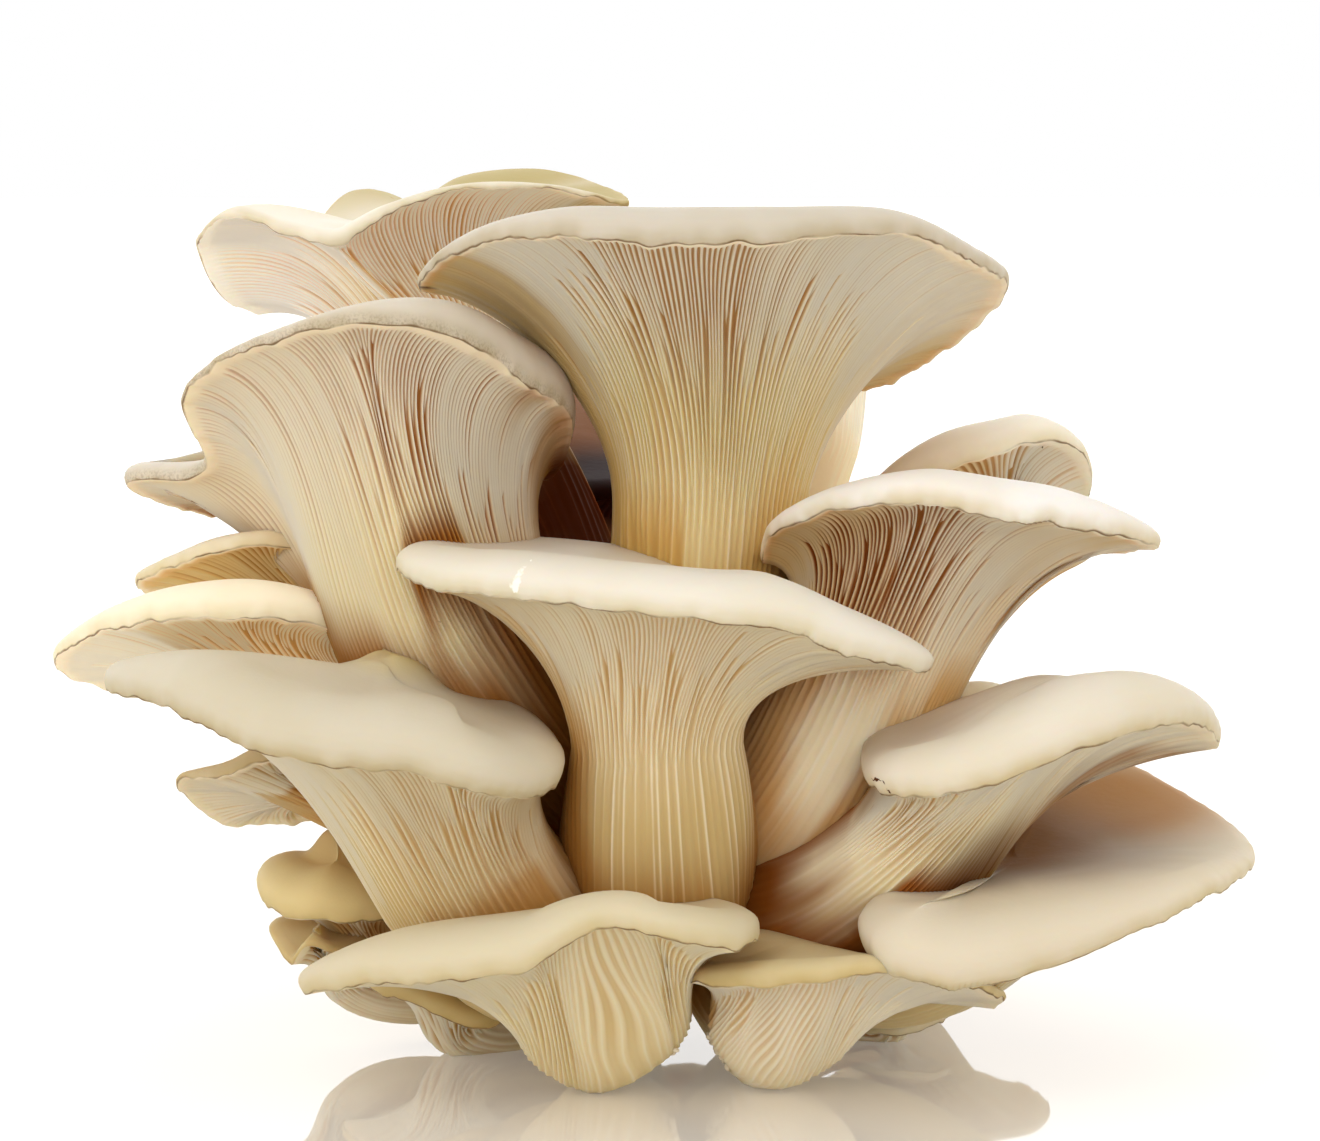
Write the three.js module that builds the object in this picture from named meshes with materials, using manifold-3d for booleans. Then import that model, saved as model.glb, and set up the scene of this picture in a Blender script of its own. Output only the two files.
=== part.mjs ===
// Oyster mushroom cluster, in millimetres, +Z up, the fullest side facing -Y.
// A cluster is a bunch of fruiting bodies that grow out of one joined butt. Each one is a
// single piece of flesh: a stem that bends up and widens like a trumpet into a shell-shaped
// cap, with a rounded margin and gills that run from the margin down the stem.
// Every mushroom is its own mesh. It stands on the butt and leaves a hair gap to its neighbours.
import * as THREE from "three";
import { mergeVertices } from "three/addons/utils/BufferGeometryUtils.js";
import Module from "manifold-3d";

const wasm = await Module();
wasm.setup();

// ---------------------------------------------------------------- driving dimensions

const HAIR_GAP = 0.7; // how far a mushroom is kept off the neighbours it grows against
const GILL_DEPTH = 1.1; // relief of the gills where they stand highest
const CENTRE = [1.6, -10.3, 0]; // moves the cluster so that its footprint is centred on the origin

// One entry for each mushroom:
//   gills   ridges round the underside, fewer and coarser than in life
//   rim     points [x, y, z, roll] of the line where the gills end, counterclockwise seen from
//           above the cap, each with the height of the rounded margin above it
//   stem    foot, middle and neck of the stem, each [x, y, z, radius]
//   crown   the middle of the cap's upper face
//   reach   how far the underside runs level inwards from the rim, where it isn't FLARE_REACH
//   relief  height of the gills, where thin flesh has lower ones than GILL_DEPTH
const MUSHROOMS = [
  {
    name: "mushroom_front",
    gills: 20,
    rim: [
      [-35.5, -28, 71, 4.4], [-29.5, -40, 69.5, 6], [-18.5, -47, 69, 6.2], [-6.5, -52, 68, 6.2],
      [5, -54, 67, 6], [15.5, -53, 65.5, 6.4], [26.5, -47, 61, 6.2], [36, -36, 58, 3.6],
      [30, -22, 57.5, 2.5], [19.5, -10, 62, 3], [0, -2, 68, 3], [-25, -10, 71.5, 3],
    ],
    stem: [[0.5, 0, 20, 9], [0, -18, 28, 13.4], [-0.7, -27, 47.5, 11.6]],
    crown: [-1.5, -26, 70],
    reach: 0.4,
  },
  {
    name: "mushroom_top",
    gills: 20,
    rim: [
      [-33, -12, 108, 2], [-25.5, -33, 114.6, 3.4], [-13.8, -44, 116.6, 5], [0, -46, 115.6, 6.4],
      [16, -44, 116, 5.8], [32, -36, 116.6, 4], [42.5, -22, 112, 3.4], [48, -5, 107.5, 2.4],
      [40, 18, 97, 2.4], [27.5, 30, 90.5, 3], [6, 34, 95, 3], [-20, 22, 104.5, 2],
    ],
    stem: [[4, 6, 34.5, 8.5], [5, 0, 56, 12], [6.2, -2, 76, 13.5]],
    crown: [5.5, -2, 114],
    reach: 0.26,
  },
  {
    name: "mushroom_left",
    gills: 20,
    rim: [
      [-64.9, -20, 93, 1.2], [-59.3, -30, 98.8, 1.7], [-48.8, -39, 103.2, 2.6], [-38.7, -42, 105, 4.2],
      [-27.2, -36, 102.8, 7], [-18, -23, 95.6, 10], [-12.4, -11, 90.5, 9], [-12.6, -3, 85.5, 5],
      [-15.5, 4, 80.5, 2.4], [-22, 12, 80, 1.6], [-34, 18, 82, 1.6], [-47.5, 22, 79, 1.6],
      [-58.5, 23, 73.5, 1.6], [-67, 17, 74.5, 2], [-75, 5, 79.5, 3.4], [-63, -7, 82.5, 2.8],
    ],
    stem: [[-8.5, 6, 30.5, 9], [-17.5, 0, 42, 13], [-28.5, -6, 58, 16]],
    crown: [-38, -8, 96],
    reach: 0.3,
  },
  {
    name: "mushroom_right_upper",
    gills: 16,
    rim: [
      [14.1, -12, 70.3, 3], [15.5, -25, 75.5, 3.6], [22.5, -33, 79.1, 4.2], [34.2, -39, 80.8, 5],
      [47, -38, 78.4, 6], [57.5, -31, 76.5, 5.6], [68.2, -17, 72.8, 3], [63.4, -4, 70.9, 2],
      [57, 14, 68.5, 2], [41.5, 22, 73, 2], [25.5, 16, 75.5, 2], [16, 2, 73.5, 2],
    ],
    stem: [[10.5, 4, 26, 10], [19.5, -8, 37, 13.2], [26.5, -11, 50, 12.6]],
    crown: [38, -8, 79],
    reach: 0.45,
  },
  {
    name: "mushroom_right_middle",
    gills: 16,
    rim: [
      [27.6, -34, 43.5, 4], [30.3, -46, 42.8, 6.2], [38.2, -52, 43.6, 7.6], [48.4, -53, 47, 8],
      [58.7, -50, 50.5, 8], [69.7, -40, 51.5, 7.2], [76, -24, 47.2, 6], [75.9, -14, 44.5, 4],
      [67.8, -4, 45, 3], [55, 4, 46, 3], [42, 2, 47, 3], [30.5, -14, 45.5, 4],
    ],
    stem: [[8.5, 2, 21, 9], [19.5, -13, 21, 10], [32.5, -25, 30, 10]],
    crown: [54, -24, 56.5],
  },
  {
    name: "mushroom_right_low",
    gills: 16,
    rim: [
      [27, -41, 22.5, 5], [30.5, -50, 19.5, 7.5], [39.5, -53, 18, 8], [51.5, -51, 20.5, 7],
      [64, -45, 24.5, 5], [75, -33, 27.5, 3.6], [82, -14, 29, 2.6], [76.5, 6, 33, 2], [61, 24, 38, 2],
      [47.5, 22, 36, 2], [42.5, 4, 27.5, 2], [33, -20, 26, 3],
    ],
    stem: [[14, 6, 16, 8], [28, -4, 12, 8], [41.5, -14, 16.5, 8]],
    crown: [49, -14, 29.5],
  },
  {
    name: "mushroom_bottom_left",
    gills: 16,
    rim: [
      [-48.5, -30, 13.5, 4], [-40, -45, 17, 6], [-27.5, -54, 19.2, 6.5], [-17, -59, 21.8, 6.2],
      [-7, -58, 27, 4.2], [2.5, -60, 24.8, 5.5], [10.5, -53, 23.2, 6], [13, -40, 23.5, 4],
      [6, -26, 24.5, 2], [-10, -18, 23, 2], [-30, -18, 19, 2], [-44, -23, 15.5, 3],
    ],
    stem: [[-3, -2, 11, 7], [-6.5, -17, 8, 8], [-8, -29, 11.1, 12]],
    crown: [-12, -37, 27],
    reach: 0.4,
  },
  {
    name: "mushroom_bottom_right",
    gills: 14,
    rim: [
      [3.5, -38, 16.5, 3], [9.5, -46, 17, 3.6], [18.5, -49, 17.8, 3.6], [28, -50, 19.5, 2.4],
      [38, -45, 17.5, 2], [46.5, -30, 12.5, 1.6], [45, -18, 9.5, 1.6], [36, -11, 10.5, 1.6],
      [23, -14, 16, 2], [10, -22, 19, 2], [4, -30, 18, 2],
    ],
    stem: [[9, -2, 11, 6.5], [13.3, -17, 7.2, 7.3], [16.2, -28.5, 9.8, 10.2]],
    crown: [20, -31, 20],
    reach: 0.4,
  },
  {
    name: "mushroom_left_low",
    gills: 16,
    rim: [
      [-76, -18, 53.5, 5], [-66.5, -34, 53, 7.5], [-55.5, -46, 49.5, 8], [-44.5, -52, 47.5, 8],
      [-34, -54, 47, 8], [-25, -54, 44.5, 8], [-17.5, -47, 42.5, 7.4], [-13.5, -36, 43.5, 6],
      [-17.5, -20, 47.5, 4], [-29, -6, 51, 3], [-36, 0, 55, 2.5], [-42, -2, 51.5, 2.5],
      [-57.5, -4, 52.5, 3], [-70.5, -8, 54, 4],
    ],
    stem: [[-3, 4, 18.5, 9], [-15.5, -14, 17.5, 12], [-26, -24, 29, 13]],
    crown: [-38, -25, 56.5],
    reach: 0.35,
  },
  {
    name: "mushroom_left_middle",
    gills: 14,
    rim: [
      [-85, 2, 55, 2.6], [-78, -10, 60, 4.4], [-68.5, -18, 62.8, 6], [-56, -20, 63.4, 7],
      [-45.5, -14, 61.4, 6.4], [-38.5, 0, 56.5, 4], [-46, 18, 50, 2], [-62.5, 26, 47, 2],
      [-75, 22, 47.5, 2], [-83.5, 12, 51, 2],
    ],
    stem: [[-8.5, 10, 27, 7], [-25, 8, 36, 7.5], [-41, 4, 46, 8]],
    crown: [-60.5, 4, 62],
  },
  {
    name: "mushroom_left_back",
    gills: 10,
    rim: [
      [-74.5, 14, 64.5, 2], [-69.5, 5, 67.5, 2.6], [-62, -1, 70.5, 3], [-53, -2, 71.5, 3],
      [-44.5, 6, 69, 3], [-41.5, 20, 61.5, 2], [-52.5, 34, 58.5, 2], [-65.5, 34, 58, 2],
      [-72.5, 24, 61, 2],
    ],
    stem: [[-8.5, 14, 30.5, 6.5], [-27, 17, 45, 6.5], [-43, 17, 56, 7]],
    crown: [-57, 16, 68],
  },
  {
    name: "mushroom_left_small",
    gills: 10,
    rim: [
      [-68, 4, 37.5, 1.2], [-61, -5, 39.5, 3], [-54.5, -8, 42, 4], [-47.5, -4, 41, 3], [-44.5, 8, 35, 1],
      [-48.5, 15, 30.5, 1], [-55.5, 19, 29, 1], [-62.5, 17, 29.5, 1], [-67, 12, 33.5, 1],
    ],
    stem: [[-8.5, 8, 23, 6], [-30, 2, 24, 6], [-46, 0, 30, 5.6]],
    crown: [-56, 6, 41],
  },
  {
    name: "mushroom_left_pale",
    gills: 10,
    rim: [
      [-56.5, 2, 21.5, 3], [-53, -6, 20, 3.6], [-47.5, -10, 20, 4], [-40.5, -9, 19.5, 4],
      [-32.5, 0, 20.5, 3], [-33, 12, 21.5, 3], [-42, 20, 21, 3], [-52, 18, 21, 3], [-56, 11, 22, 3],
    ],
    stem: [[-8.5, 8, 16, 5.5], [-28, 8, 9, 5], [-40, 6, 13, 5]],
    crown: [-43.5, 6, 34],
  },
  {
    name: "mushroom_left_folded",
    gills: 10,
    rim: [
      [-55, 2, 16.5, 1.4], [-53, -3, 14, 1.6], [-51.5, -5, 13, 1.6], [-49, -8, 16, 1.6],
      [-45, -6, 14.5, 1.6], [-41, 2, 15, 1.6], [-44, 10, 16, 1.6], [-51.5, 10, 16.5, 1.6],
    ],
    stem: [[-8.5, 9, 13, 4.5], [-31, 7, 6.5, 4], [-44, 3, 9, 3.6]],
    crown: [-48, 2, 17.5],
    relief: 0.5,
  },
  {
    name: "mushroom_bottom_back",
    gills: 10,
    rim: [
      [-44.5, -4, 10, 2], [-40, -14, 11, 3], [-33, -20, 9.5, 3.4], [-25.5, -22, 7, 3.4], [-19, -16, 8, 3],
      [-16, -6, 11, 2], [-21, 3, 12, 1.6], [-32, 7, 12, 1.6], [-41, 4, 11, 1.6],
    ],
    stem: [[-6, 8, 9.5, 5], [-19, 3, 3, 4.6], [-28, -4, 4.4, 5]],
    crown: [-29, -8, 14],
  },
  {
    name: "mushroom_top_back",
    gills: 18,
    rim: [
      [-66.3, 26, 111.5, 1], [-65, 18, 113.9, 1], [-60, 9, 117, 1.4], [-52, 5.5, 114.5, 2],
      [-45, 4.5, 113.2, 2.4], [-37, 8.5, 118, 1.2], [-27, 14, 120.6, 1], [-15, 22, 120.2, 1],
      [-5, 34, 117.6, 1], [-8, 50, 119, 1], [-18, 63, 121, 1], [-30, 68, 119.5, 1], [-40, 64, 116, 1],
      [-48, 57, 113, 1], [-54.8, 49, 105, 1], [-58, 42, 101.5, 1], [-63.6, 34, 104.3, 1],
    ],
    stem: [[-6, 16, 36.5, 8], [-14, 25, 66, 8], [-26, 33, 86, 10]],
    crown: [-37, 36, 114.5],
    relief: 0.6,
  },
  {
    name: "mushroom_right_back",
    gills: 12,
    rim: [
      [28, 26, 70.5, 5], [32.5, 20, 75.5, 6.5], [40.5, 17, 80.4, 6.8], [49, 16, 83.2, 6.2],
      [55.4, 18, 84.6, 5.4], [60.8, 25, 82.2, 3.8], [63, 37, 75.5, 2], [59.5, 52, 71, 2],
      [49.5, 58, 69, 2], [38, 50, 69, 2.4], [31.5, 38, 69.5, 3],
    ],
    stem: [[14.5, 14, 30.5, 6.5], [31.5, 25, 46, 6.5], [45, 36, 62, 7]],
    crown: [48.5, 36, 84],
  },
  {
    name: "mushroom_back_top",
    gills: 12,
    rim: [
      [-1.5, 50, 103, 2], [7.5, 40, 101.5, 2.6], [19, 37, 101, 3], [31, 41, 100, 3], [41, 52, 100, 2.6],
      [38, 70, 103.5, 2], [24.5, 78, 105.5, 2], [7.5, 70, 105, 2],
    ],
    stem: [[5.5, 14, 33.5, 7.5], [13, 30, 58, 8], [20.5, 38, 83, 8.6]],
    crown: [21, 56, 104],
  },
  {
    name: "mushroom_back_right",
    gills: 12,
    rim: [
      [32, 28, 44, 2], [42, 24, 46, 3], [50.5, 32, 45.5, 3], [53.5, 46, 40.5, 2], [48.5, 64, 35.5, 2],
      [36.5, 68, 34, 2], [28.5, 54, 37.5, 2], [28, 38, 41.5, 2],
    ],
    stem: [[11.5, 12, 25, 7], [27, 25, 26, 7], [38, 38, 31, 7]],
    crown: [41.5, 44, 46.5],
  },
  {
    name: "mushroom_tiny_right",
    gills: 8,
    rim: [
      [28, 2, 2.6, 1.2], [33, -3, 2.4, 2], [38.5, 0, 3, 2], [41, 8, 4, 1.4], [36, 15, 5, 1.2],
      [29, 12, 4.4, 1.2],
    ],
    stem: [[5, 9, 13, 3], [24.5, 8, 1, 2.2], [33, 6, 1, 2]],
    crown: [34.5, 6, 6.5],
    relief: 0.4,
  },
  {
    name: "mushroom_rear_left",
    gills: 14,
    rim: [
      [-64, 46, 47, 2.6], [-58, 36, 45, 2.6], [-46, 31, 43, 2.6], [-32, 33, 42, 2.6], [-23, 42, 43, 2.6],
      [-22, 54, 46, 3], [-30, 64, 50, 4], [-43, 69, 52, 4.6], [-56, 65, 51, 4], [-64, 56, 49, 3],
    ],
    stem: [[-6, 14, 24, 7.5], [-20, 28, 27, 8], [-33, 43, 35, 9]],
    crown: [-43, 49, 52],
  },
  {
    name: "mushroom_rear_middle",
    gills: 12,
    rim: [
      [-14, 56, 36, 3], [-8, 47, 33, 2.6], [4, 43, 32, 2.6], [16, 44, 33, 2.6], [25, 50, 36, 3],
      [27, 60, 40, 3.6], [20, 70, 43, 4.2], [8, 76, 44, 4.6], [-5, 74, 42, 4.6], [-13, 66, 39, 4],
    ],
    stem: [[0, 18, 22, 8], [3, 36, 17, 8], [6, 51, 24, 8.5]],
    crown: [7, 60, 43],
  },
  {
    name: "mushroom_rear_right",
    gills: 12,
    rim: [
      [24, 45, 14.5, 2.6], [28, 35, 16.5, 2.6], [38, 30, 18, 2.6], [48, 31, 18, 2.6], [56, 38, 18, 2.6],
      [58, 49, 17, 3], [52, 60, 16, 3.6], [40, 64, 14, 4], [29, 56, 13, 3.6],
    ],
    stem: [[8, 18, 14, 6.5], [23, 34, 4.5, 6], [35, 43, 7, 6.5]],
    crown: [41, 46, 20],
  },
  {
    name: "mushroom_rear_upper",
    gills: 12,
    rim: [
      [-38, 58, 77, 3], [-32, 48, 75, 2.6], [-20, 42, 74, 2.6], [-6, 41, 74, 2.6], [4, 46, 75, 2.6],
      [9, 56, 77, 3], [7, 67, 80, 4], [-3, 75, 83, 4.6], [-16, 78, 84, 4.6], [-29, 74, 82, 4.2],
      [-37, 67, 79, 3.6],
    ],
    stem: [[-3, 16, 34, 8], [-9, 33, 49, 8.5], [-12, 48, 66, 10]],
    crown: [-14, 59, 83],
  },
  {
    name: "mushroom_rear_side",
    gills: 12,
    rim: [
      [12, 64, 60, 2.6], [17, 55, 58, 2.6], [28, 52, 57, 2.6], [39, 55, 57, 2.6], [45, 63, 59, 2.6],
      [44, 73, 62, 3.4], [34, 80, 65, 4], [22, 80, 65, 4], [13, 74, 63, 3.4],
    ],
    stem: [[4, 18, 30, 7], [15, 38, 38, 7.5], [25, 54, 49, 8]],
    crown: [28, 65, 66],
  },
  {
    name: "mushroom_rear_low",
    gills: 12,
    rim: [
      [-40, 48, 14, 3], [-34, 39, 14, 2.6], [-22, 35, 15, 2.6], [-9, 36, 15, 2.6], [2, 41, 13, 2.6],
      [5, 50, 12, 3], [-1, 60, 15, 4], [-12, 66, 17, 4.6], [-26, 65, 17, 4.6], [-37, 58, 15, 4],
    ],
    stem: [[-4, 17, 12, 6.5], [-10, 34, 4, 6], [-16, 45, 7, 7]],
    crown: [-17, 49, 21],
  },
];

// The butt: a rounded lump, its middle and its three half sizes.
const BUTT = { middle: [1, 9, 25], half: [19, 17, 14] };

// ---------------------------------------------------------------- one mushroom

const STEM_SHARES = [0, 0.5]; // rings of the stem, from foot to neck
const UNDER_SHARES = [0, 0.28, 0.56, 0.82, 1]; // rings of the underside, from neck to margin
const UNDER_RELIEF = [0.6, 1, 1, 0.8, 0.25]; // share of the gill depth on each of them
const TOP_SHARES = [0.3, 0.65]; // rings of the upper face, from margin to crown
const FLARE_RISE = 0.35; // how far the flesh keeps to the stem's direction before it turns out
const FLARE_REACH = 0.5; // how far the underside runs level inwards from the rim
const MARGIN_BULGE = 0.15; // how far the rounded margin stands out, as a share of its height

const vector = (p) => new THREE.Vector3(p[0], p[1], p[2]);
const bezier = (a, b, c, d, t) =>
  vector([0, 0, 0])
    .addScaledVector(a, (1 - t) ** 3)
    .addScaledVector(b, 3 * t * (1 - t) ** 2)
    .addScaledVector(c, 3 * t * t * (1 - t))
    .addScaledVector(d, t ** 3);

// The stem's middle line runs through its three stations. This is a point of it, with the
// radius and the direction there.
function stemAt(stem, t) {
  const blend = (weights) => [0, 1, 2, 3].map((k) => stem.reduce((sum, at, i) => sum + weights[i] * at[k], 0));
  const place = blend([(1 - t) * (1 - 2 * t), 4 * t * (1 - t), t * (2 * t - 1)]);
  const slope = blend([4 * t - 3, 4 - 8 * t, 4 * t - 1]);
  return { middle: vector(place), radius: place[3], along: vector(slope).normalize() };
}

// A ring round the stem. Angles are counted from the neck's side, which turns with the stem.
function stemRing(station, neck, side, angles) {
  const turned = side.clone().applyQuaternion(new THREE.Quaternion().setFromUnitVectors(neck.along, station.along));
  const across = station.along.clone().cross(turned);
  return angles.map((angle) =>
    station.middle
      .clone()
      .addScaledVector(turned, Math.cos(angle) * station.radius)
      .addScaledVector(across, Math.sin(angle) * station.radius),
  );
}

// The direction, round the stem, in which each point of the margin lies. Half of it is an even
// turn, so that the gills spread over the whole stem.
function anglesTo(margin, neck, side) {
  const across = neck.along.clone().cross(side);
  return margin.map((point, i) => {
    const ray = point.clone().sub(neck.middle);
    const even = (2 * Math.PI * i) / margin.length;
    const off = Math.atan2(ray.dot(across), ray.dot(side)) - even;
    return even + 0.5 * (off - 2 * Math.PI * Math.round(off / (2 * Math.PI)));
  });
}

// The margin line at even distances, with the roll of the margin at each point.
function marginOf(rim, count) {
  const curve = new THREE.CatmullRomCurve3(rim.map(vector), true, "centripetal");
  curve.arcLengthDivisions = 20 * rim.length;
  return Array.from({ length: count }, (_, i) => {
    const place = curve.getUtoTmapping(i / count) * rim.length;
    const span = Math.floor(place);
    const from = rim[span % rim.length][3];
    const to = rim[(span + 1) % rim.length][3];
    return { point: curve.getPoint(place / rim.length), roll: from + (to - from) * (place - span) };
  });
}

// Every other point of a ring.
const thinned = (ring) => ring.filter((_, i) => i % 2 === 0);

// Sinks every other point of the underside's rings into the flesh, which leaves the gills.
function cutGills(rings, depth) {
  const count = rings[0].length;
  return rings.map((ring, j) =>
    ring.map((point, i) => {
      if (i % 2 === 0) return point;
      const round = ring[(i + 1) % count].clone().sub(ring[(i + count - 1) % count]);
      const along = rings[Math.min(j + 1, rings.length - 1)][i].clone().sub(rings[Math.max(j - 1, 0)][i]);
      const inwards = along.cross(round).normalize();
      return point.clone().addScaledVector(inwards, depth * UNDER_RELIEF[j]);
    }),
  );
}

// The rings of a mushroom from its foot, up the stem and the gills, over the margin, to the crown.
function mushroomRings(spec, withGills) {
  const columns = 2 * spec.gills;
  const rim = marginOf(spec.rim, columns);
  const margin = rim.map((at) => at.point);
  const next = (i) => margin[(i + 1) % columns].clone();
  const previous = (i) => margin[(i + columns - 1) % columns];
  const neck = stemAt(spec.stem, 1);
  const side = margin[0].clone().sub(neck.middle).projectOnPlane(neck.along).normalize();
  const angles = anglesTo(margin, neck, side);

  const normal = vector([0, 0, 0]);
  margin.forEach((point, i) => normal.add(point.clone().cross(next(i))));
  normal.normalize();
  const outward = margin.map((_, i) => next(i).sub(previous(i)).cross(normal).normalize());

  const collar = stemRing(neck, neck, side, angles);
  const underside = UNDER_SHARES.map((share) =>
    margin.map((end, i) => {
      const length = end.distanceTo(collar[i]);
      const lift = collar[i].clone().addScaledVector(neck.along, FLARE_RISE * length);
      const sill = end.clone().addScaledVector(outward[i], -(spec.reach ?? FLARE_REACH) * length);
      return bezier(collar[i], lift, sill, end, share);
    }),
  );

  const overEdge = (turn) =>
    rim.map(({ point, roll }, i) =>
      point
        .clone()
        .addScaledVector(normal, roll * Math.sin(turn))
        .addScaledVector(outward[i], roll * (MARGIN_BULGE * Math.sin(2 * turn) - 1 + Math.cos(turn))),
    );
  const brink = overEdge(Math.PI / 2);
  const crown = vector(spec.crown);
  const top = TOP_SHARES.map((share) =>
    brink.map((start, i) => {
      const way = 0.35 * crown.distanceTo(start);
      const inner = start.clone().sub(crown).projectOnPlane(normal).setLength(way).add(crown);
      return bezier(start, start.clone().addScaledVector(outward[i], -way), inner, crown, share);
    }),
  );

  return {
    foot: vector(spec.stem[0]),
    rings: [
      ...STEM_SHARES.map((share) => thinned(stemRing(stemAt(spec.stem, share), neck, side, angles))),
      ...(withGills ? cutGills(underside, spec.relief ?? GILL_DEPTH) : underside),
      thinned(overEdge(Math.PI / 5)),
      thinned(brink),
      ...top.map(thinned),
    ],
    crown,
  };
}

// Joins rings to one closed mesh. A ring has as many points as the one before it, or half or twice.
function skin({ foot, rings, crown }) {
  const starts = rings.map((_, r) => 1 + rings.slice(0, r).reduce((sum, ring) => sum + ring.length, 0));
  const at = (r, i) => starts[r] + (i % rings[r].length);
  const faces = [];
  rings[0].forEach((_, i) => faces.push([0, at(0, i + 1), at(0, i)]));
  for (let r = 0; r + 1 < rings.length; r++) {
    const low = rings[r].length;
    const high = rings[r + 1].length;
    for (let i = 0; i < Math.min(low, high); i++) {
      if (low === high) {
        faces.push([at(r, i), at(r, i + 1), at(r + 1, i)]);
        faces.push([at(r, i + 1), at(r + 1, i + 1), at(r + 1, i)]);
      } else if (low > high) {
        faces.push([at(r, 2 * i), at(r, 2 * i + 1), at(r + 1, i)]);
        faces.push([at(r, 2 * i + 1), at(r + 1, i + 1), at(r + 1, i)]);
        faces.push([at(r, 2 * i + 1), at(r, 2 * i + 2), at(r + 1, i + 1)]);
      } else {
        faces.push([at(r, i), at(r + 1, 2 * i + 1), at(r + 1, 2 * i)]);
        faces.push([at(r, i), at(r, i + 1), at(r + 1, 2 * i + 1)]);
        faces.push([at(r, i + 1), at(r + 1, 2 * i + 2), at(r + 1, 2 * i + 1)]);
      }
    }
  }
  const last = rings.length - 1;
  const points = [foot, ...rings.flat(), crown];
  rings[last].forEach((_, i) => faces.push([at(last, i), at(last, i + 1), points.length - 1]));
  return new THREE.BufferGeometry().setFromPoints(points).setIndex(faces.flat());
}

// ---------------------------------------------------------------- solids

// A closed geometry as a solid, with each vertex moved out by grow.
function solid(geometry, grow = 0) {
  const bare = geometry.clone();
  bare.deleteAttribute("normal");
  bare.deleteAttribute("uv");
  const merged = mergeVertices(bare, 1e-4);
  merged.computeVertexNormals();
  const { position, normal } = merged.attributes;
  const vertProperties = position.array.map((value, i) => value + grow * normal.array[i]);
  const triVerts = new Uint32Array(merged.index.array);
  return new wasm.Manifold(new wasm.Mesh({ numProp: 3, vertProperties, triVerts }));
}

// The largest piece of a solid, without the scraps that a cut can leave.
const largest = (cut) => cut.decompose().reduce((best, piece) => (piece.volume() > best.volume() ? piece : best));

function geometryOf(made) {
  const { vertProperties, triVerts } = made.getMesh();
  const geometry = new THREE.BufferGeometry();
  geometry.setAttribute("position", new THREE.BufferAttribute(Float32Array.from(vertProperties), 3));
  geometry.setIndex(new THREE.BufferAttribute(Uint32Array.from(triVerts), 1));
  geometry.computeVertexNormals();
  return geometry;
}

const floorBlock = solid(new THREE.BoxGeometry(400, 400, 100).translate(0, 0, -50));

// The butt is a sphere, stretched, with low swellings all over.
const SWELL = 0.06;
function buttGeometry() {
  const geometry = new THREE.SphereGeometry(1, 18, 10);
  const { position } = geometry.attributes;
  for (let i = 0; i < position.count; i++) {
    const point = new THREE.Vector3().fromBufferAttribute(position, i);
    const swell = 1 + SWELL * Math.sin(5 * point.x + 1) * Math.sin(6 * point.y) * Math.cos(5 * point.z);
    point.multiplyScalar(swell).multiply(vector(BUTT.half)).add(vector(BUTT.middle));
    position.setXYZ(i, point.x, point.y, point.z);
  }
  return geometry;
}

// ---------------------------------------------------------------- the cluster

const flesh = new THREE.MeshStandardMaterial({ color: 0xe9dcc3, roughness: 0.6, metalness: 0 });
const buttFlesh = new THREE.MeshStandardMaterial({ color: 0xd9c6a2, roughness: 0.8, metalness: 0 });

const cluster = new THREE.Group();
cluster.position.set(...CENTRE);

function add(name, made, material) {
  const mesh = new THREE.Mesh(geometryOf(made), material);
  mesh.name = name;
  cluster.add(mesh);
}

add("butt", solid(buttGeometry()), buttFlesh);

// Each mushroom is cut back from the butt and from those placed before it.
const placed = [solid(buttGeometry(), HAIR_GAP)];
for (const spec of MUSHROOMS) {
  let body = solid(skin(mushroomRings(spec, true))).subtract(floorBlock);
  for (const neighbour of placed) body = body.subtract(neighbour);
  add(spec.name, largest(body).simplify(0.06), flesh);
  placed.push(solid(skin(mushroomRings(spec, false)), HAIR_GAP));
}

export default cluster;
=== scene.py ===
# Oyster mushroom cluster, in metres, +Z up, the fullest side facing -Y.
# Every mushroom is one piece of flesh, and its own section gives its sizes in mm and its colours.
import math

import bmesh
import bpy
import numpy as np
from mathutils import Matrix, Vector
from mathutils.bvhtree import BVHTree


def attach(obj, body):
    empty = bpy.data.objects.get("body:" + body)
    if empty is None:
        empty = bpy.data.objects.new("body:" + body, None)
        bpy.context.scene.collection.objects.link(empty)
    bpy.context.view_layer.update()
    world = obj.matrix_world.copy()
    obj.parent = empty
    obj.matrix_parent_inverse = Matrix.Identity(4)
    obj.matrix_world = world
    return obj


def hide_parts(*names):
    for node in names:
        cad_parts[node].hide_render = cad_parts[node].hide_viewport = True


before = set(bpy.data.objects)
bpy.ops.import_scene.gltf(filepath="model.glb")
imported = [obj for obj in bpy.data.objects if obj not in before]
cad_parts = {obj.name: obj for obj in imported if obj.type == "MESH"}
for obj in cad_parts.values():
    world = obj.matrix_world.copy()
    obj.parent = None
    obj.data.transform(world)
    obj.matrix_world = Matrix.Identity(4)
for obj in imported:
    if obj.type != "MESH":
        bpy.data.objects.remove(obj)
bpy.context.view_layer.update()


# ---------------- The front mushroom
# The broad cap in the middle of the front, ivory, on a stout stem that stands almost straight.
# It is one piece of flesh, grown: the stem flares like a trumpet into the cap, and thin gills run
# from the rolled margin down the stem.

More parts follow.
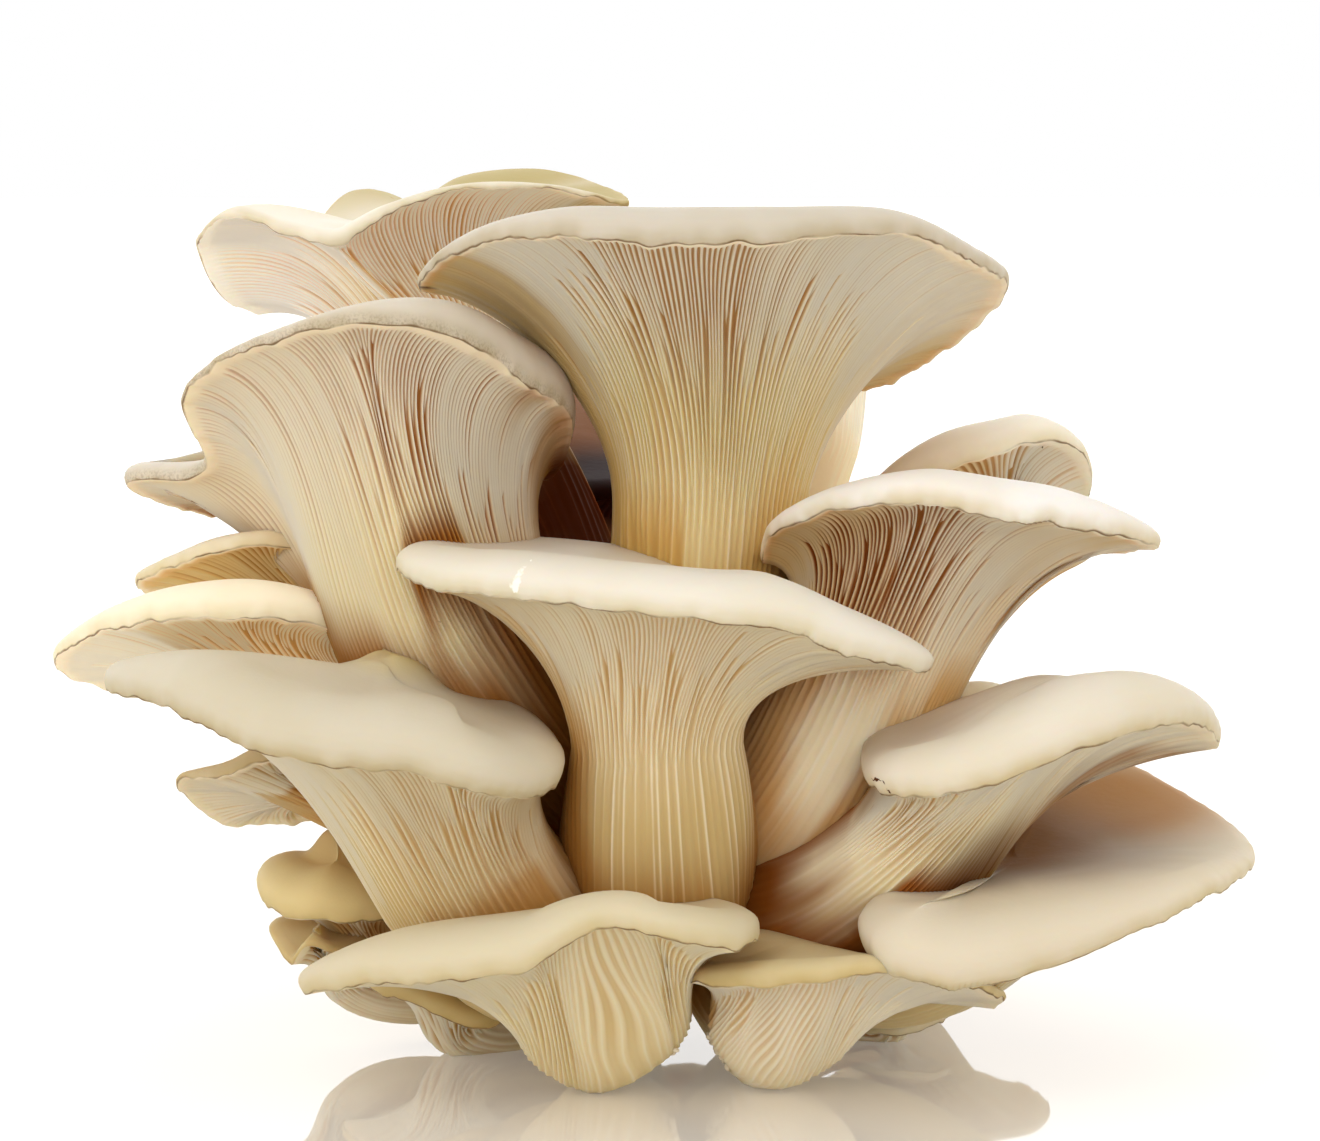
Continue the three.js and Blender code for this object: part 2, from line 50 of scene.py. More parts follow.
MM = 0.001
CENTRE = np.array([1.6, -10.3, 0.0])  # the cluster's footprint is centred on the origin
FLARE_RISE = 0.35  # how far the flesh keeps to the stem's direction before it turns out
MARGIN_BULGE = 0.15  # how far the rounded margin stands out, as a share of its height
LIP = 0.25  # how far the margin's lower lip overhangs the gills
BLADE_SHARE = 0.31  # a gill's half width, as a share of the way to the next
STEM_BLADE, CAP_BLADE = 0.36, 0.6  # the most half width of a gill, in mm
GILL_SWAY = 0.35  # how far the gills swing from side to side, in mm
# How many gills to one of each kind, the place of its first one, and between which widths of the
# gap between two gills, in mm, it runs out
GILL_KINDS = ((8, 0, 0, 0), (8, 4, 0.13, 0.2), (4, 2, 0.22, 0.34), (2, 1, 0.36, 0.58))
RUFFLES = ((15, 0.8), (8, 0.7), (4.6, 0.45), (2.7, 0.3))  # the margin's waves: length, strength
CROWN_REACH = 0.35  # how far the top keeps level from the margin and at the crown, as a share
TOP_SWELL, TOP_SWELL_WIDTH = 0.5, 26  # how high and how wide the top's swellings are
STEM_ROWS, UNDER_ROWS, EDGE_ROWS, TOP_ROWS = 14, 30, 9, 10
UNDER_CROWDING = 1.6  # how much closer the rows stand near the margin
FINE = 3  # columns of the gilled face to each column of the smooth faces
TABLE = 2048  # steps of the tables that follow the margin once round
SPARSE_ROWS, SPARSE_COLUMNS = 4, 12  # every how many rows and columns the hollows are felt out


def unit(vectors):
    """Vectors brought to length 1."""
    return vectors / np.linalg.norm(vectors, axis=-1, keepdims=True)


def rise(low, high, value):
    """0 below low, 1 above high, smooth between."""
    t = np.clip((value - low) / (high - low), 0, 1)
    return t * t * (3 - 2 * t)


def swells(points, wavelength, draw, waves=7):
    """A smooth random height, mostly between -1 and 1, at each point."""
    total = np.zeros(points.shape[:-1])
    for _ in range(waves):
        pace = 2 * math.pi / (wavelength * draw.uniform(0.7, 1.4))
        total += np.sin(points @ unit(draw.normal(size=3)) * pace + draw.uniform(0, 2 * math.pi))
    return total / math.sqrt(waves / 2) * 0.7


def smooth_loop(points, steps):
    """A closed centripetal curve through points, with this many steps from each to the next."""
    here = np.array(points, float)
    before, after, beyond = (np.roll(here, shift, axis=0) for shift in (1, -1, -2))
    first, second, third = (
        np.linalg.norm((b - a)[:, :3], axis=1)[:, None] ** 0.5
        for a, b in ((before, here), (here, after), (after, beyond))
    )
    leave = (here - before) / first - (after - before) / (first + second) + (after - here) / second
    arrive = (after - here) / second - (beyond - here) / (second + third) + (beyond - after) / third
    t = np.linspace(0, 1, steps, endpoint=False)[None, :, None]
    loop = (
        (2 * t**3 - 3 * t**2 + 1) * here[:, None]
        + (t**3 - 2 * t**2 + t) * (second * leave)[:, None]
        + (3 * t**2 - 2 * t**3) * after[:, None]
        + (t**3 - t**2) * (second * arrive)[:, None]
    )
    return loop.reshape(-1, here.shape[1])


def even_steps(loop, count):
    """A closed loop at even distances, and its length."""
    closed = np.vstack([loop, loop[:1]])
    run = np.append(0, np.cumsum(np.linalg.norm(np.diff(closed[:, :3], axis=0), axis=1)))
    at = np.linspace(0, run[-1], count, endpoint=False)
    return np.stack([np.interp(at, run, column) for column in closed.T], axis=1), run[-1]


def take(table, share):
    """A table that follows the margin, read at shares of the way round."""
    place = (share % 1) * TABLE
    low = np.floor(place).astype(int)
    part = (place - low).reshape(place.shape + (1,) * (table.ndim - 1))
    return table[low % TABLE] * (1 - part) + table[(low + 1) % TABLE] * part


def bezier(a, b, c, d, t):
    """The point at share t of a curve with two ends and two handles."""
    return a * (1 - t) ** 3 + b * 3 * t * (1 - t) ** 2 + c * 3 * t**2 * (1 - t) + d * t**3


def stem_at(stem, t):
    """The stem's middle line runs through its three stations: place, radius and direction there."""
    foot, middle, neck = np.array(stem, float)
    place = foot * (1 - t) * (1 - 2 * t) + middle * 4 * t * (1 - t) + neck * t * (2 * t - 1)
    slope = foot * (4 * t - 3) + middle * (4 - 8 * t) + neck * (4 * t - 1)
    return place[:3], place[3], unit(slope[:3])


def turned(vector, start, end):
    """A vector carried along with the shortest turn from direction start to direction end."""
    axis, even = np.cross(start, end), start.dot(end)
    return vector * even + np.cross(axis, vector) + axis * axis.dot(vector) / (1 + even)


def mushroom_rows(rim, stem, crown, reach, wave, spacing, draw):
    """The rows of points of one mushroom, from its foot to its crown, without gills. The first
    rows climb the stem, the next ones the underside, then the rolled margin and the top."""
    line, length = even_steps(smooth_loop(rim, 64), TABLE)
    margin, roll = line[:, :3], np.maximum(line[:, 3], 0.5)
    normal = unit(np.cross(margin, np.roll(margin, -1, axis=0)).sum(axis=0))
    outward = unit(np.cross(np.roll(margin, -8, axis=0) - np.roll(margin, 8, axis=0), normal))
    share = np.arange(TABLE) / TABLE
    ruffle = np.zeros(TABLE)
    for wavelength, strength in RUFFLES:
        turns, swing = round(length / wavelength), draw.integers(2, 6)
        height = strength * np.sin(2 * math.pi * (turns * share + draw.random()))
        ruffle += height * (0.55 + 0.45 * np.sin(2 * math.pi * (swing * share + draw.random())))
    ruffled = margin + normal * (wave * ruffle)[:, None]

    neck, _, along = stem_at(stem, 1)
    side = margin[0] - neck
    side = unit(side - along * side.dot(along))
    ray = margin - neck
    off = np.arctan2(ray @ np.cross(along, side), ray @ side) - 2 * math.pi * share
    off = 0.5 * (off - 2 * math.pi * np.round(off / (2 * math.pi)))

    gills = 8 * round(length / (8 * spacing))
    columns = FINE * gills
    even = np.arange(columns) / columns

    def ring(t, at):
        """The stem's points at share t of its length, each at its own share of the way round."""
        middle, radius, slope = stem_at(stem, t)
        first = turned(side, along, slope)
        angle = (2 * math.pi * at + take(off, at))[:, None]
        uneven = 1 + 0.03 * np.sin(3 * angle + 5 * t) + 0.02 * np.sin(5 * angle - 7 * t)
        around = np.cos(angle) * first + np.sin(angle) * np.cross(slope, first)
        return middle + radius * uneven * around

    rows = [ring(t, even) for t in np.linspace(0, 1, STEM_ROWS, endpoint=False)]

    under = 1 - (1 - np.linspace(0, 1, UNDER_ROWS)) ** UNDER_CROWDING
    for t in under:
        sway = np.sin(2 * math.pi * (23 * even + 1.7 * t)) * rise(0, 0.3, t)
        at = even + GILL_SWAY / length * (1 - t) * sway
        collar, end, out = ring(1, at), take(ruffled, at), take(outward, at)
        far = np.linalg.norm(end - collar, axis=1, keepdims=True)
        leave, arrive = collar + along * FLARE_RISE * far, end - out * reach * far
        rows.append(bezier(collar, leave, arrive, end, t))

    point, height, out = take(margin, even), take(roll, even)[:, None], take(outward, even)
    lift = take(ruffled, even) - point
    for turn in np.linspace(0, math.pi / 2, EDGE_ROWS + 1)[1:]:
        lip = LIP * math.sin(math.pi * min(1, turn / 1.1))
        level = height * (MARGIN_BULGE * math.sin(2 * turn) - 1 + math.cos(turn)) + lip
        eased = lift * (1 - rise(0, 1.2, turn))
        rows.append(point + eased + normal * height * math.sin(turn) + out * level)

    brink, crown = rows[-1], np.array(crown, float)
    inner = brink - crown
    way = CROWN_REACH * np.linalg.norm(inner, axis=1, keepdims=True)
    inner = crown + unit(inner - (inner @ normal)[:, None] * normal) * way
    for t in np.linspace(0, 1, TOP_ROWS + 2)[1:-1]:
        rows.append(bezier(brink, brink - out * way, inner, crown, t))
    top = np.array(rows[-TOP_ROWS:])
    fade = np.linspace(0.2, 1, TOP_ROWS)[:, None]
    swell = TOP_SWELL * fade * swells(top, TOP_SWELL_WIDTH, draw)
    rows[-TOP_ROWS:] = top + normal * swell[:, :, None]
    return np.array(rows), under


def averaged(grid, reach):
    """Each point of a grid averaged with those up to this many gills away on either side."""
    sides = range(-reach, reach + 1)
    return sum(np.roll(grid, turn * FINE, axis=1) for turn in sides) / len(sides)


def gill_relief(rows, under, depth, ribs, strip, bold, draw):
    """How deep each point of the stem and the underside lies between the gills, in mm.
    Every second gill starts at the margin and ends where they crowd, then every fourth and every
    eighth one, and the rest run down the stem. They are deepest on the side that bold points to."""
    count = STEM_ROWS + UNDER_ROWS
    face = rows[:count]
    columns = face.shape[1]
    column = np.arange(columns)
    gap = np.linalg.norm(np.roll(face, -1, axis=1) - face, axis=2)
    step = np.linalg.norm(np.diff(face, axis=0), axis=2)
    to_margin = np.vstack([np.cumsum(step[::-1], axis=0)[::-1], np.zeros(columns)])
    share = np.append(np.linspace(-1, 0, STEM_ROWS, endpoint=False), under)[:, None]
    wide = averaged(gap, 3) * FINE

    there, crowd = [], np.zeros(gap.shape)
    on_stem = rise(0.2, -0.2, share)
    for gap_in_gills, first, low, high in GILL_KINDS:
        every = gap_in_gills * FINE
        shifted = column - first * FINE + every // 2
        which = shifted // every % (columns // every)
        least = draw.uniform(low, high, columns // every)[which] * (1 + 0.6 * on_stem)
        faint = 1 - draw.uniform(0, 0.7, columns // every)[which] * on_stem
        there.append(rise(least - 0.05, least + 0.03, wide) * faint)
        crowd += there[-1] * 8 / gap_in_gills
    apart = 8 * wide / averaged(crowd, 6)

    height = np.zeros(gap.shape)
    blade = np.minimum(BLADE_SHARE * apart, CAP_BLADE + (STEM_BLADE - CAP_BLADE) * on_stem)
    for (gap_in_gills, first, _, _), stands in zip(GILL_KINDS, there):
        every = gap_in_gills * FINE
        away = np.abs((column - first * FINE + every // 2) % every - every // 2) * gap
        height = np.maximum(height, stands * np.exp(-((away / blade) ** 1.6)))

    wander = 0.5 + 0.5 * swells(face, 30, draw)
    start = strip * wander
    low = 0.5 * ribs
    fade = rise(start, start + 2, to_margin) * (low + (1 - low) * rise(-0.15, 0.45, share))
    fade = fade * (1 - 0.3 * rise(-0.5, -1, share))
    away = face[-1] - face[STEM_ROWS].mean(axis=0)
    toward = np.cos(np.arctan2(away[:, 1], away[:, 0]) - math.radians(bold))
    fade = fade * (0.6 + 0.2 * rise(0.0, 0.7, toward) + 0.2 * rise(0.4, 0.95, toward))
    return depth * fade * (1 - height), to_margin


def plain_cluster():
    """The plain solids of the whole cluster as one tree, to look up what stands near a point."""
    corners, faces = [], []
    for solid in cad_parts.values():
        start = len(corners)
        corners += [vertex.co for vertex in solid.data.vertices]
        faces += [[start + index for index in face.vertices] for face in solid.data.polygons]
    return BVHTree.FromPolygons(corners, faces)


solids = plain_cluster()
sky_draw = np.random.default_rng(5)
RAYS = unit(sky_draw.normal(size=(28, 3)))
RAY_START, RAY_LENGTH = 1.8, 70.0  # mm
RAY_LEAN = 1.05  # turns every ray to the outer side of the skin


def shut_in(points, normals):
    """How much of what each point faces is flesh: 0 in the open, 1 deep between the stems. The
    skin paints shade into the colour where this is high.
    """
    shut = np.zeros(points.shape[:2])
    for index in np.ndindex(shut.shape):
        normal = normals[index]
        rays = unit(RAYS + RAY_LEAN * normal)
        start = Vector((points[index] + normal * RAY_START + CENTRE) * MM)
        hits = [solids.ray_cast(start, Vector(ray), RAY_LENGTH * MM)[3] for ray in rays]
        shut[index] = np.mean([hit is not None for hit in hits])
    return shut


def spread(coarse, rows, columns, step_rows, step_columns):
    """A coarse grid brought to every row and column, the columns closing round."""
    wrapped = np.hstack([coarse, coarse[:, :1]])
    at = np.arange(wrapped.shape[1]) * step_columns
    wide = np.array([np.interp(np.arange(columns), at, line) for line in wrapped])
    at = np.minimum(np.arange(len(wide)) * step_rows, rows - 1)
    return np.array([np.interp(np.arange(rows), at, line) for line in wide.T]).T


def near_any(points, spots):
    """1 at the middle of each spot (x, y, z, radius, strength), fading out at its radius."""
    total = np.zeros(points.shape[:-1])
    for x, y, z, radius, strength in spots:
        away = np.linalg.norm(points - (x, y, z), axis=-1) / radius
        total = np.maximum(total, strength * (1 - rise(0.3, 1.0, away)))
    return total


def placed(name, data):
    """An object of a mesh, a light or a camera, put in the scene."""
    made = bpy.data.objects.new(name, data)
    bpy.context.scene.collection.objects.link(made)
    return made


def smooth_piece(name, shape):
    """A bmesh brought into the scene as a smooth object, and freed."""
    mesh = bpy.data.meshes.new(name)
    shape.to_mesh(mesh)
    shape.free()
    mesh.shade_smooth()
    return placed(name, mesh)


def mushroom(
    name, rim, stem, crown, reach=0.5, wave=0.3, depth=1.0, ribs=1.0,
    strip=1.2, spacing=0.8, bold=-90, stains=(), deep_shades=(), knobs=(), seed=1,
):
    """One mushroom as a closed mesh. A tube is cut into rows, the rows of the gilled face are
    split finer, and each vertex is carried to its place. The rim is the margin's line, each point
    with the radius of its roll, and the stem three places with radii. Reach is how far the gilled
    face runs level to the margin, wave how high the margin's waves are, depth how deep the gills
    are, ribs how strongly they go on down the stem, strip how wide the smooth band under the
    margin is, spacing how far the gills stand apart, and bold the side they are deepest on."""
    draw = np.random.default_rng(seed)
    rows, under = mushroom_rows(rim, stem, crown, reach, wave, spacing, draw)
    relief, to_margin = gill_relief(rows, under, depth, ribs, strip, bold, draw)
    count, columns = len(rows), rows.shape[1]
    gilled = STEM_ROWS + UNDER_ROWS
    rows[gilled:, :, 2] += near_any(rows[gilled:], knobs)

    along = np.gradient(rows, axis=0)
    around = np.roll(rows, -2, axis=1) - np.roll(rows, 2, axis=1)
    normals = unit(np.cross(around, along))
    # How shut in the flesh is, felt out at sparse points; the skin paints shade by it.
    shut = shut_in(rows[::SPARSE_ROWS, ::SPARSE_COLUMNS], normals[::SPARSE_ROWS, ::SPARSE_COLUMNS])
    shut = spread(shut, count, columns, SPARSE_ROWS, SPARSE_COLUMNS)
    rows[:gilled] -= normals[:gilled] * relief[:, :, None]
    past = np.linalg.norm(np.diff(rows[gilled - 1 :], axis=0), axis=2).cumsum(axis=0)
    sunk = np.vstack([relief, np.zeros_like(past)])
    past = np.vstack([-to_margin, past])

    tube = bmesh.new()
    bmesh.ops.create_cone(
        tube, cap_ends=True, cap_tris=True, segments=columns // FINE, radius1=1, radius2=1, depth=2
    )
    upright = [e for e in tube.edges if abs(e.verts[0].co.z - e.verts[1].co.z) > 1]
    bmesh.ops.subdivide_edges(tube, edges=upright, cuts=count - 2, use_grid_fill=True)
    row_height = 2 / (count - 1)
    low, high = -1 + (STEM_ROWS - 0.5) * row_height, -1 + (gilled - 0.5) * row_height
    rounds = []
    for edge in tube.edges:
        a, b = (vertex.co for vertex in edge.verts)
        on_skin = min(a.xy.length, b.xy.length) > 0.5
        if on_skin and low < a.z < high and abs(a.z - b.z) < row_height / 2:
            rounds.append(edge)
    bmesh.ops.subdivide_edges(tube, edges=rounds, cuts=FINE - 1, use_grid_fill=True)

    piece = smooth_piece(f"{name}_mushroom", tube)
    mesh = piece.data
    flat = np.empty(3 * len(mesh.vertices), np.float32)
    mesh.vertices.foreach_get("co", flat)
    x, y, z = flat.reshape(-1, 3).T
    row = np.round((z + 1) / row_height).astype(int)
    column = np.round(np.arctan2(y, x) / (2 * math.pi) * columns).astype(int) % columns
    place = rows[row, column]
    pole = np.hypot(x, y) < 0.5
    place[pole & (z < 0)] = stem[0][:3]
    place[pole & (z > 0)] = rows[-1].mean(axis=0)
    place = place + CENTRE
    place[:, 2] = np.maximum(place[:, 2], 0)
    mesh.vertices.foreach_set("co", (place * MM).astype(np.float32).ravel())
    # The stain spots, on some caps the flesh's own colour and on others painted shade, and the deep
    # spots, which are painted shade.
    spots = {"stain": near_any(rows, stains), "deep": near_any(rows, deep_shades)}
    for label, values in {"sunk": sunk, "past": past, "shut": shut, **spots}.items():
        layer = mesh.attributes.new(label, "FLOAT", "POINT")
        layer.data.foreach_set("value", values[row, column].astype(np.float32))
    mesh.update()
    return piece


def feed(tree, made, **inputs):
    """Sets each of these inputs of a shader node to a value, or links it to a socket.
    An input is given by its name, or by its place, as _0 for the first one."""
    for key, value in inputs.items():
        by_place = key[0] == "_"
        socket = made.inputs[int(key[1:]) if by_place else key.replace("_", " ")]
        if isinstance(value, bpy.types.NodeSocket):
            tree.links.new(value, socket)
        else:
            socket.default_value = value


def node(tree, kind, settings=(), **inputs):
    """A shader node with its settings and inputs."""
    made = tree.nodes.new(kind)
    for key, value in dict(settings).items():
        setattr(made, key, value)
    feed(tree, made, **inputs)
    return made


def new_material(name):
    """A material and its node tree."""
    material = bpy.data.materials.new(name)
    material.use_nodes = True
    return material, material.node_tree


def new_group(name, inputs, outputs):
    """A node group, with the kind of value that each of its inputs and outputs carries."""
    tree = bpy.data.node_groups.new(name, "ShaderNodeTree")
    for way, kinds in (("INPUT", inputs), ("OUTPUT", outputs)):
        for label, kind in kinds.items():
            tree.interface.new_socket(label, in_out=way, socket_type=f"NodeSocket{kind}")
    return tree


def attribute(tree, name):
    """A value that the mesh carries at each vertex."""
    return node(tree, "ShaderNodeAttribute", {"attribute_name": name}).outputs["Fac"]


def ramp(tree, value, low, high, top=1.0):
    """0 where value is below low, top above high, smooth between."""
    settings = {"interpolation_type": "SMOOTHSTEP"}
    limits = {"From_Min": low, "From_Max": high, "To_Max": top}
    return node(tree, "ShaderNodeMapRange", settings, Value=value, **limits).outputs["Result"]


def maths(tree, operation, a, b=0.0):
    """One step of arithmetic with two values."""
    return node(tree, "ShaderNodeMath", {"operation": operation}, _0=a, _1=b).outputs[0]


def mixed(tree, factor, a, b, how="MIX"):
    """Colour a blended with colour b by the factor."""
    settings = {"data_type": "RGBA", "blend_type": how}
    return node(tree, "ShaderNodeMix", settings, _0=factor, _6=a, _7=b).outputs[2]


def noise(tree, place, size, detail=3.0):
    """A grain whose spots are about size millimetres wide."""
    made = node(tree, "ShaderNodeTexNoise", Vector=place, Scale=1 / (size * MM), Detail=detail)
    return made.outputs["Fac"]


def tint(red, green, blue):
    """A colour given as 0 to 255 for a screen, as the shader's linear values."""
    return tuple((value / 255) ** 2.2 for value in (red, green, blue)) + (1,)


DEEP_SHADE_BROWN = (84, 42, 16)  # painted shade: the dark brown deep between the stems and in creases


def make_flesh_group():
    """The skin of a mushroom: its top, its gilled face, the margin's line, and painted shade.
    It reads how far past the margin a point lies, in mm (past, below 0 on the gilled face), how
    deep between gills (sunk), how shut in by flesh (shut), and the spots (stain, deep). It paints
    shade between the gills, on shut-in flesh, at the deep spots and along the margin's crease;
    the stain spots are the flesh's own colour on some caps and painted shade on others."""
    colours = ("Top", "Edge", "Gills", "Grooves", "Stem", "Line", "Hollow", "Stain")
    inputs = dict.fromkeys(colours, "Color") | {"Speckle": "Float"}
    outputs = {"Colour": "Color", "Roughness": "Float", "Height": "Float"}
    tree = new_group("mushroom skin", inputs, outputs)
    given = tree.nodes.new("NodeGroupInput").outputs
    place = tree.nodes.new("ShaderNodeTexCoord").outputs["Object"]
    past, sunk = attribute(tree, "past"), attribute(tree, "sunk")

    patches = noise(tree, place, 20, 2.0)
    dents = noise(tree, place, 5, 2.0)
    grain = noise(tree, place, 1.1)
    down = maths(tree, "MULTIPLY", ramp(tree, past, -10.0, -40.0), ramp(tree, sunk, 0.0, 0.2))
    under = mixed(tree, down, given["Gills"], given["Stem"])
    # Painted shade between the gills: where the face sinks between two gills its colour goes to the
    # groove shade colour, fully near the margin and by about a third far down the stem.
    deep = maths(tree, "ADD", ramp(tree, past, -40.0, -18.0, 0.65), 0.35)
    deep = maths(tree, "MULTIPLY", ramp(tree, sunk, 0.15, 0.8), deep)
    under = mixed(tree, deep, under, given["Grooves"])
    top = mixed(tree, ramp(tree, patches, 0.4, 0.7, 0.2), given["Top"], given["Edge"])
    low = maths(tree, "MULTIPLY", ramp(tree, past, 3.2, 0.2), ramp(tree, dents, 0.1, 0.7, 0.7))
    top = mixed(tree, low, top, given["Edge"])
    spots = ramp(tree, noise(tree, place, 0.35), 0.42, 0.66)
    spots = maths(tree, "MULTIPLY", spots, given["Speckle"])
    spots = maths(tree, "MULTIPLY", spots, ramp(tree, past, 2.2, 0.3))
    top = mixed(tree, spots, top, given["Line"])
    colour = mixed(tree, ramp(tree, past, -0.1, 0.25), under, top)

    # The margin's line: painted shade along the crease where the rolled margin meets the gills,
    # ragged in width and broken in places.
    width = maths(tree, "MULTIPLY", maths(tree, "SUBTRACT", noise(tree, place, 2.5), 0.2), 0.9)
    from_line = maths(tree, "ABSOLUTE", maths(tree, "ADD", past, -0.08))
    line = maths(tree, "SUBTRACT", 1.0, ramp(tree, from_line, 0.0, width))
    line = maths(tree, "MULTIPLY", line, ramp(tree, noise(tree, place, 9), 0.3, 0.6, 0.9))
    colour = mixed(tree, line, colour, given["Line"])
    # The stain spots: the flesh's own colour on some caps, painted shade and shadow on others.
    colour = mixed(tree, attribute(tree, "stain"), colour, given["Stain"])
    # Painted shade: where the flesh is shut in, its colour is multiplied by the painted shade
    # colour, fully below the margin and by about a third on the top.
    hollow = ramp(tree, attribute(tree, "shut"), 0.5, 0.95)
    beneath = maths(tree, "ADD", ramp(tree, past, 1.0, -1.0, 0.7), 0.3)
    hollow = maths(tree, "MULTIPLY", hollow, beneath)
    colour = mixed(tree, hollow, colour, given["Hollow"], "MULTIPLY")
    # Painted shade at the deep spots: the colour is multiplied by a dark brown.
    colour = mixed(tree, attribute(tree, "deep"), colour, tint(*DEEP_SHADE_BROWN), "MULTIPLY")

    grain, dents = maths(tree, "MULTIPLY", grain, 0.3), maths(tree, "MULTIPLY", dents, 0.4)
    height = maths(tree, "ADD", grain, dents)
    roughness = maths(tree, "ADD", 0.4, maths(tree, "MULTIPLY", patches, 0.25))
    node(tree, "NodeGroupOutput", Colour=colour, Height=height, Roughness=roughness)
    return tree


def make_tear_group():
    """A ragged line between two points in millimetres, widest at its middle."""
    inputs = {"Start": "Vector", "End": "Vector", "Width": "Float"}
    tree = new_group("tear", inputs, {"Mask": "Float"})
    given = tree.nodes.new("NodeGroupInput").outputs
    place = tree.nodes.new("ShaderNodeTexCoord").outputs["Object"]

    def vectors(operation, output="Vector", **inputs):
        """One step of arithmetic with vectors."""
        made = node(tree, "ShaderNodeVectorMath", {"operation": operation}, **inputs)
        return made.outputs[output]

    place = vectors("SCALE", _0=place, Scale=1 / MM)
    wobble = node(tree, "ShaderNodeTexNoise", Vector=place, Scale=0.9).outputs["Color"]
    wobble = vectors("SUBTRACT", _0=wobble, _1=(0.5, 0.5, 0.5))
    place = vectors("ADD", _0=place, _1=vectors("SCALE", _0=wobble, Scale=1.4))
    line = vectors("SUBTRACT", _0=given["End"], _1=given["Start"])
    ray = vectors("SUBTRACT", _0=place, _1=given["Start"])
    along = vectors("DOT_PRODUCT", "Value", _0=ray, _1=line)
    whole = vectors("DOT_PRODUCT", "Value", _0=line, _1=line)
    share = maths(tree, "DIVIDE", along, whole)
    share = node(tree, "ShaderNodeClamp", Value=share).outputs[0]
    nearest = vectors("SCALE", _0=line, Scale=share)
    away = vectors("LENGTH", "Value", _0=vectors("SUBTRACT", _0=ray, _1=nearest))
    taper = maths(tree, "SINE", maths(tree, "MULTIPLY", share, math.pi))
    taper = maths(tree, "ADD", maths(tree, "MULTIPLY", taper, 0.9), 0.1)
    width = maths(tree, "MULTIPLY", given["Width"], taper)
    mask = ramp(tree, maths(tree, "DIVIDE", away, width), 1.2, 0.7)
    node(tree, "NodeGroupOutput", Mask=mask)
    return tree


mushroom_skin = make_flesh_group()
tear_line = make_tear_group()

# The flesh's own colours, and three colours of painted shade: the groove shade brown between the
# gills, the warm shade for shut-in flesh, and the dark line, which is painted shade along the
# margin's crease and also the colour of the specks.
IVORY, WHITE_FLESH = (232, 222, 200), (255, 252, 244)
PALE_BLADE, GROOVE_SHADE_BROWN = (238, 226, 200), (198, 160, 102)
CREAM_STEM, OLIVE_EDGE = (226, 206, 156), (204, 188, 142)
CREASE_SHADE_AND_SPECKS, WARM_PAINTED_SHADE = (104, 78, 46), (214, 176, 128)


def flesh(
    name, top=IVORY, gills=PALE_BLADE, grooves=GROOVE_SHADE_BROWN, stem=CREAM_STEM, edge=OLIVE_EDGE,
    line=CREASE_SHADE_AND_SPECKS, hollow=WARM_PAINTED_SHADE, stain=OLIVE_EDGE, speckle=0.0, glow=0.0, tears=(),
):
    """The moist, slightly translucent flesh of one mushroom, its colours 0 to 255 for a screen.
    The groove shade and the painted shade colours are painted shade, and so is the line along the
    margin's crease, which also colours the specks; the stain is painted shade on some caps. The
    glow is painted light, given off by the flesh in place of the light that comes through a thin
    cap. A tear has two ends, a width, a colour."""
    material, tree = new_material(name)
    colours = {"Top": top, "Edge": edge, "Gills": gills, "Grooves": grooves, "Stem": stem}
    colours |= {"Line": line, "Hollow": hollow, "Stain": stain}
    colours = {label: tint(*colour) for label, colour in colours.items()}
    settings = {"node_tree": mushroom_skin}
    skin = node(tree, "ShaderNodeGroup", settings, Speckle=speckle, **colours)
    height = skin.outputs["Height"]
    bump = node(tree, "ShaderNodeBump", Height=height, Strength=0.3, Distance=0.5 * MM)
    colour = skin.outputs["Colour"]
    for start, end, width, torn in tears:
        start, end = (tuple((np.array(point) + CENTRE).tolist()) for point in (start, end))
        settings = {"node_tree": tear_line}
        tear = node(tree, "ShaderNodeGroup", settings, Start=start, End=end, Width=width)
        colour = mixed(tree, tear.outputs["Mask"], colour, tint(*torn))
    # The glow is painted light: the flesh gives off its own colour as light.
    feed(
        tree, tree.nodes["Principled BSDF"], Base_Color=colour, Emission_Color=colour,
        Emission_Strength=glow, Roughness=skin.outputs["Roughness"],
        Normal=bump.outputs["Normal"], Specular_IOR_Level=0.1, Subsurface_Weight=0.5,
        Subsurface_Radius=(1.0, 0.65, 0.35), Subsurface_Scale=2.5 * MM,
    )
    return material


def settle(piece, **colours):
    """Gives a mushroom its skin and puts it in the place of its plain solid."""
    name = piece.name.removesuffix("_mushroom")
    piece.data.materials.append(flesh(f"{name}_flesh", **colours))
    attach(piece, "root")
    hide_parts(f"mushroom_{name}")


front = mushroom(
    "front",
    rim=[
        (-35.5, -28, 71, 4.4), (-29.5, -40, 69.5, 6), (-18.5, -47, 69, 6.2), (-6.5, -52, 68, 6.2),
        (5, -54, 67, 6), (15.5, -53, 65.5, 6.4), (26.5, -47, 61, 6.2), (36, -36, 58, 3.6),
        (30, -22, 57.5, 2.5), (19.5, -10, 62, 3), (0, -2, 68, 3), (-25, -10, 71.5, 3),
    ],
    stem=[(0.5, 0, 20, 9), (0, -18, 28, 13.4), (-0.7, -27, 47.5, 11.6)],
    crown=(-1.5, -26, 70),
    reach=0.4,
    depth=0.7,
    seed=1,
)
settle(
    front, top=(234, 228, 215), edge=(214, 202, 164), gills=(234, 219, 188),
    stem=(206, 180, 126),
    tears=[((-17, -44.8, 73.9), (-19.8, -47.7, 69.6), 0.8, WHITE_FLESH)],
)

# ---------------- The top mushroom
# The widest cap, on a stout stem that flares out at the top of the cluster. It is one piece of
# flesh with a greyish skin on its rolled margin and long gills that reach well down the stem.

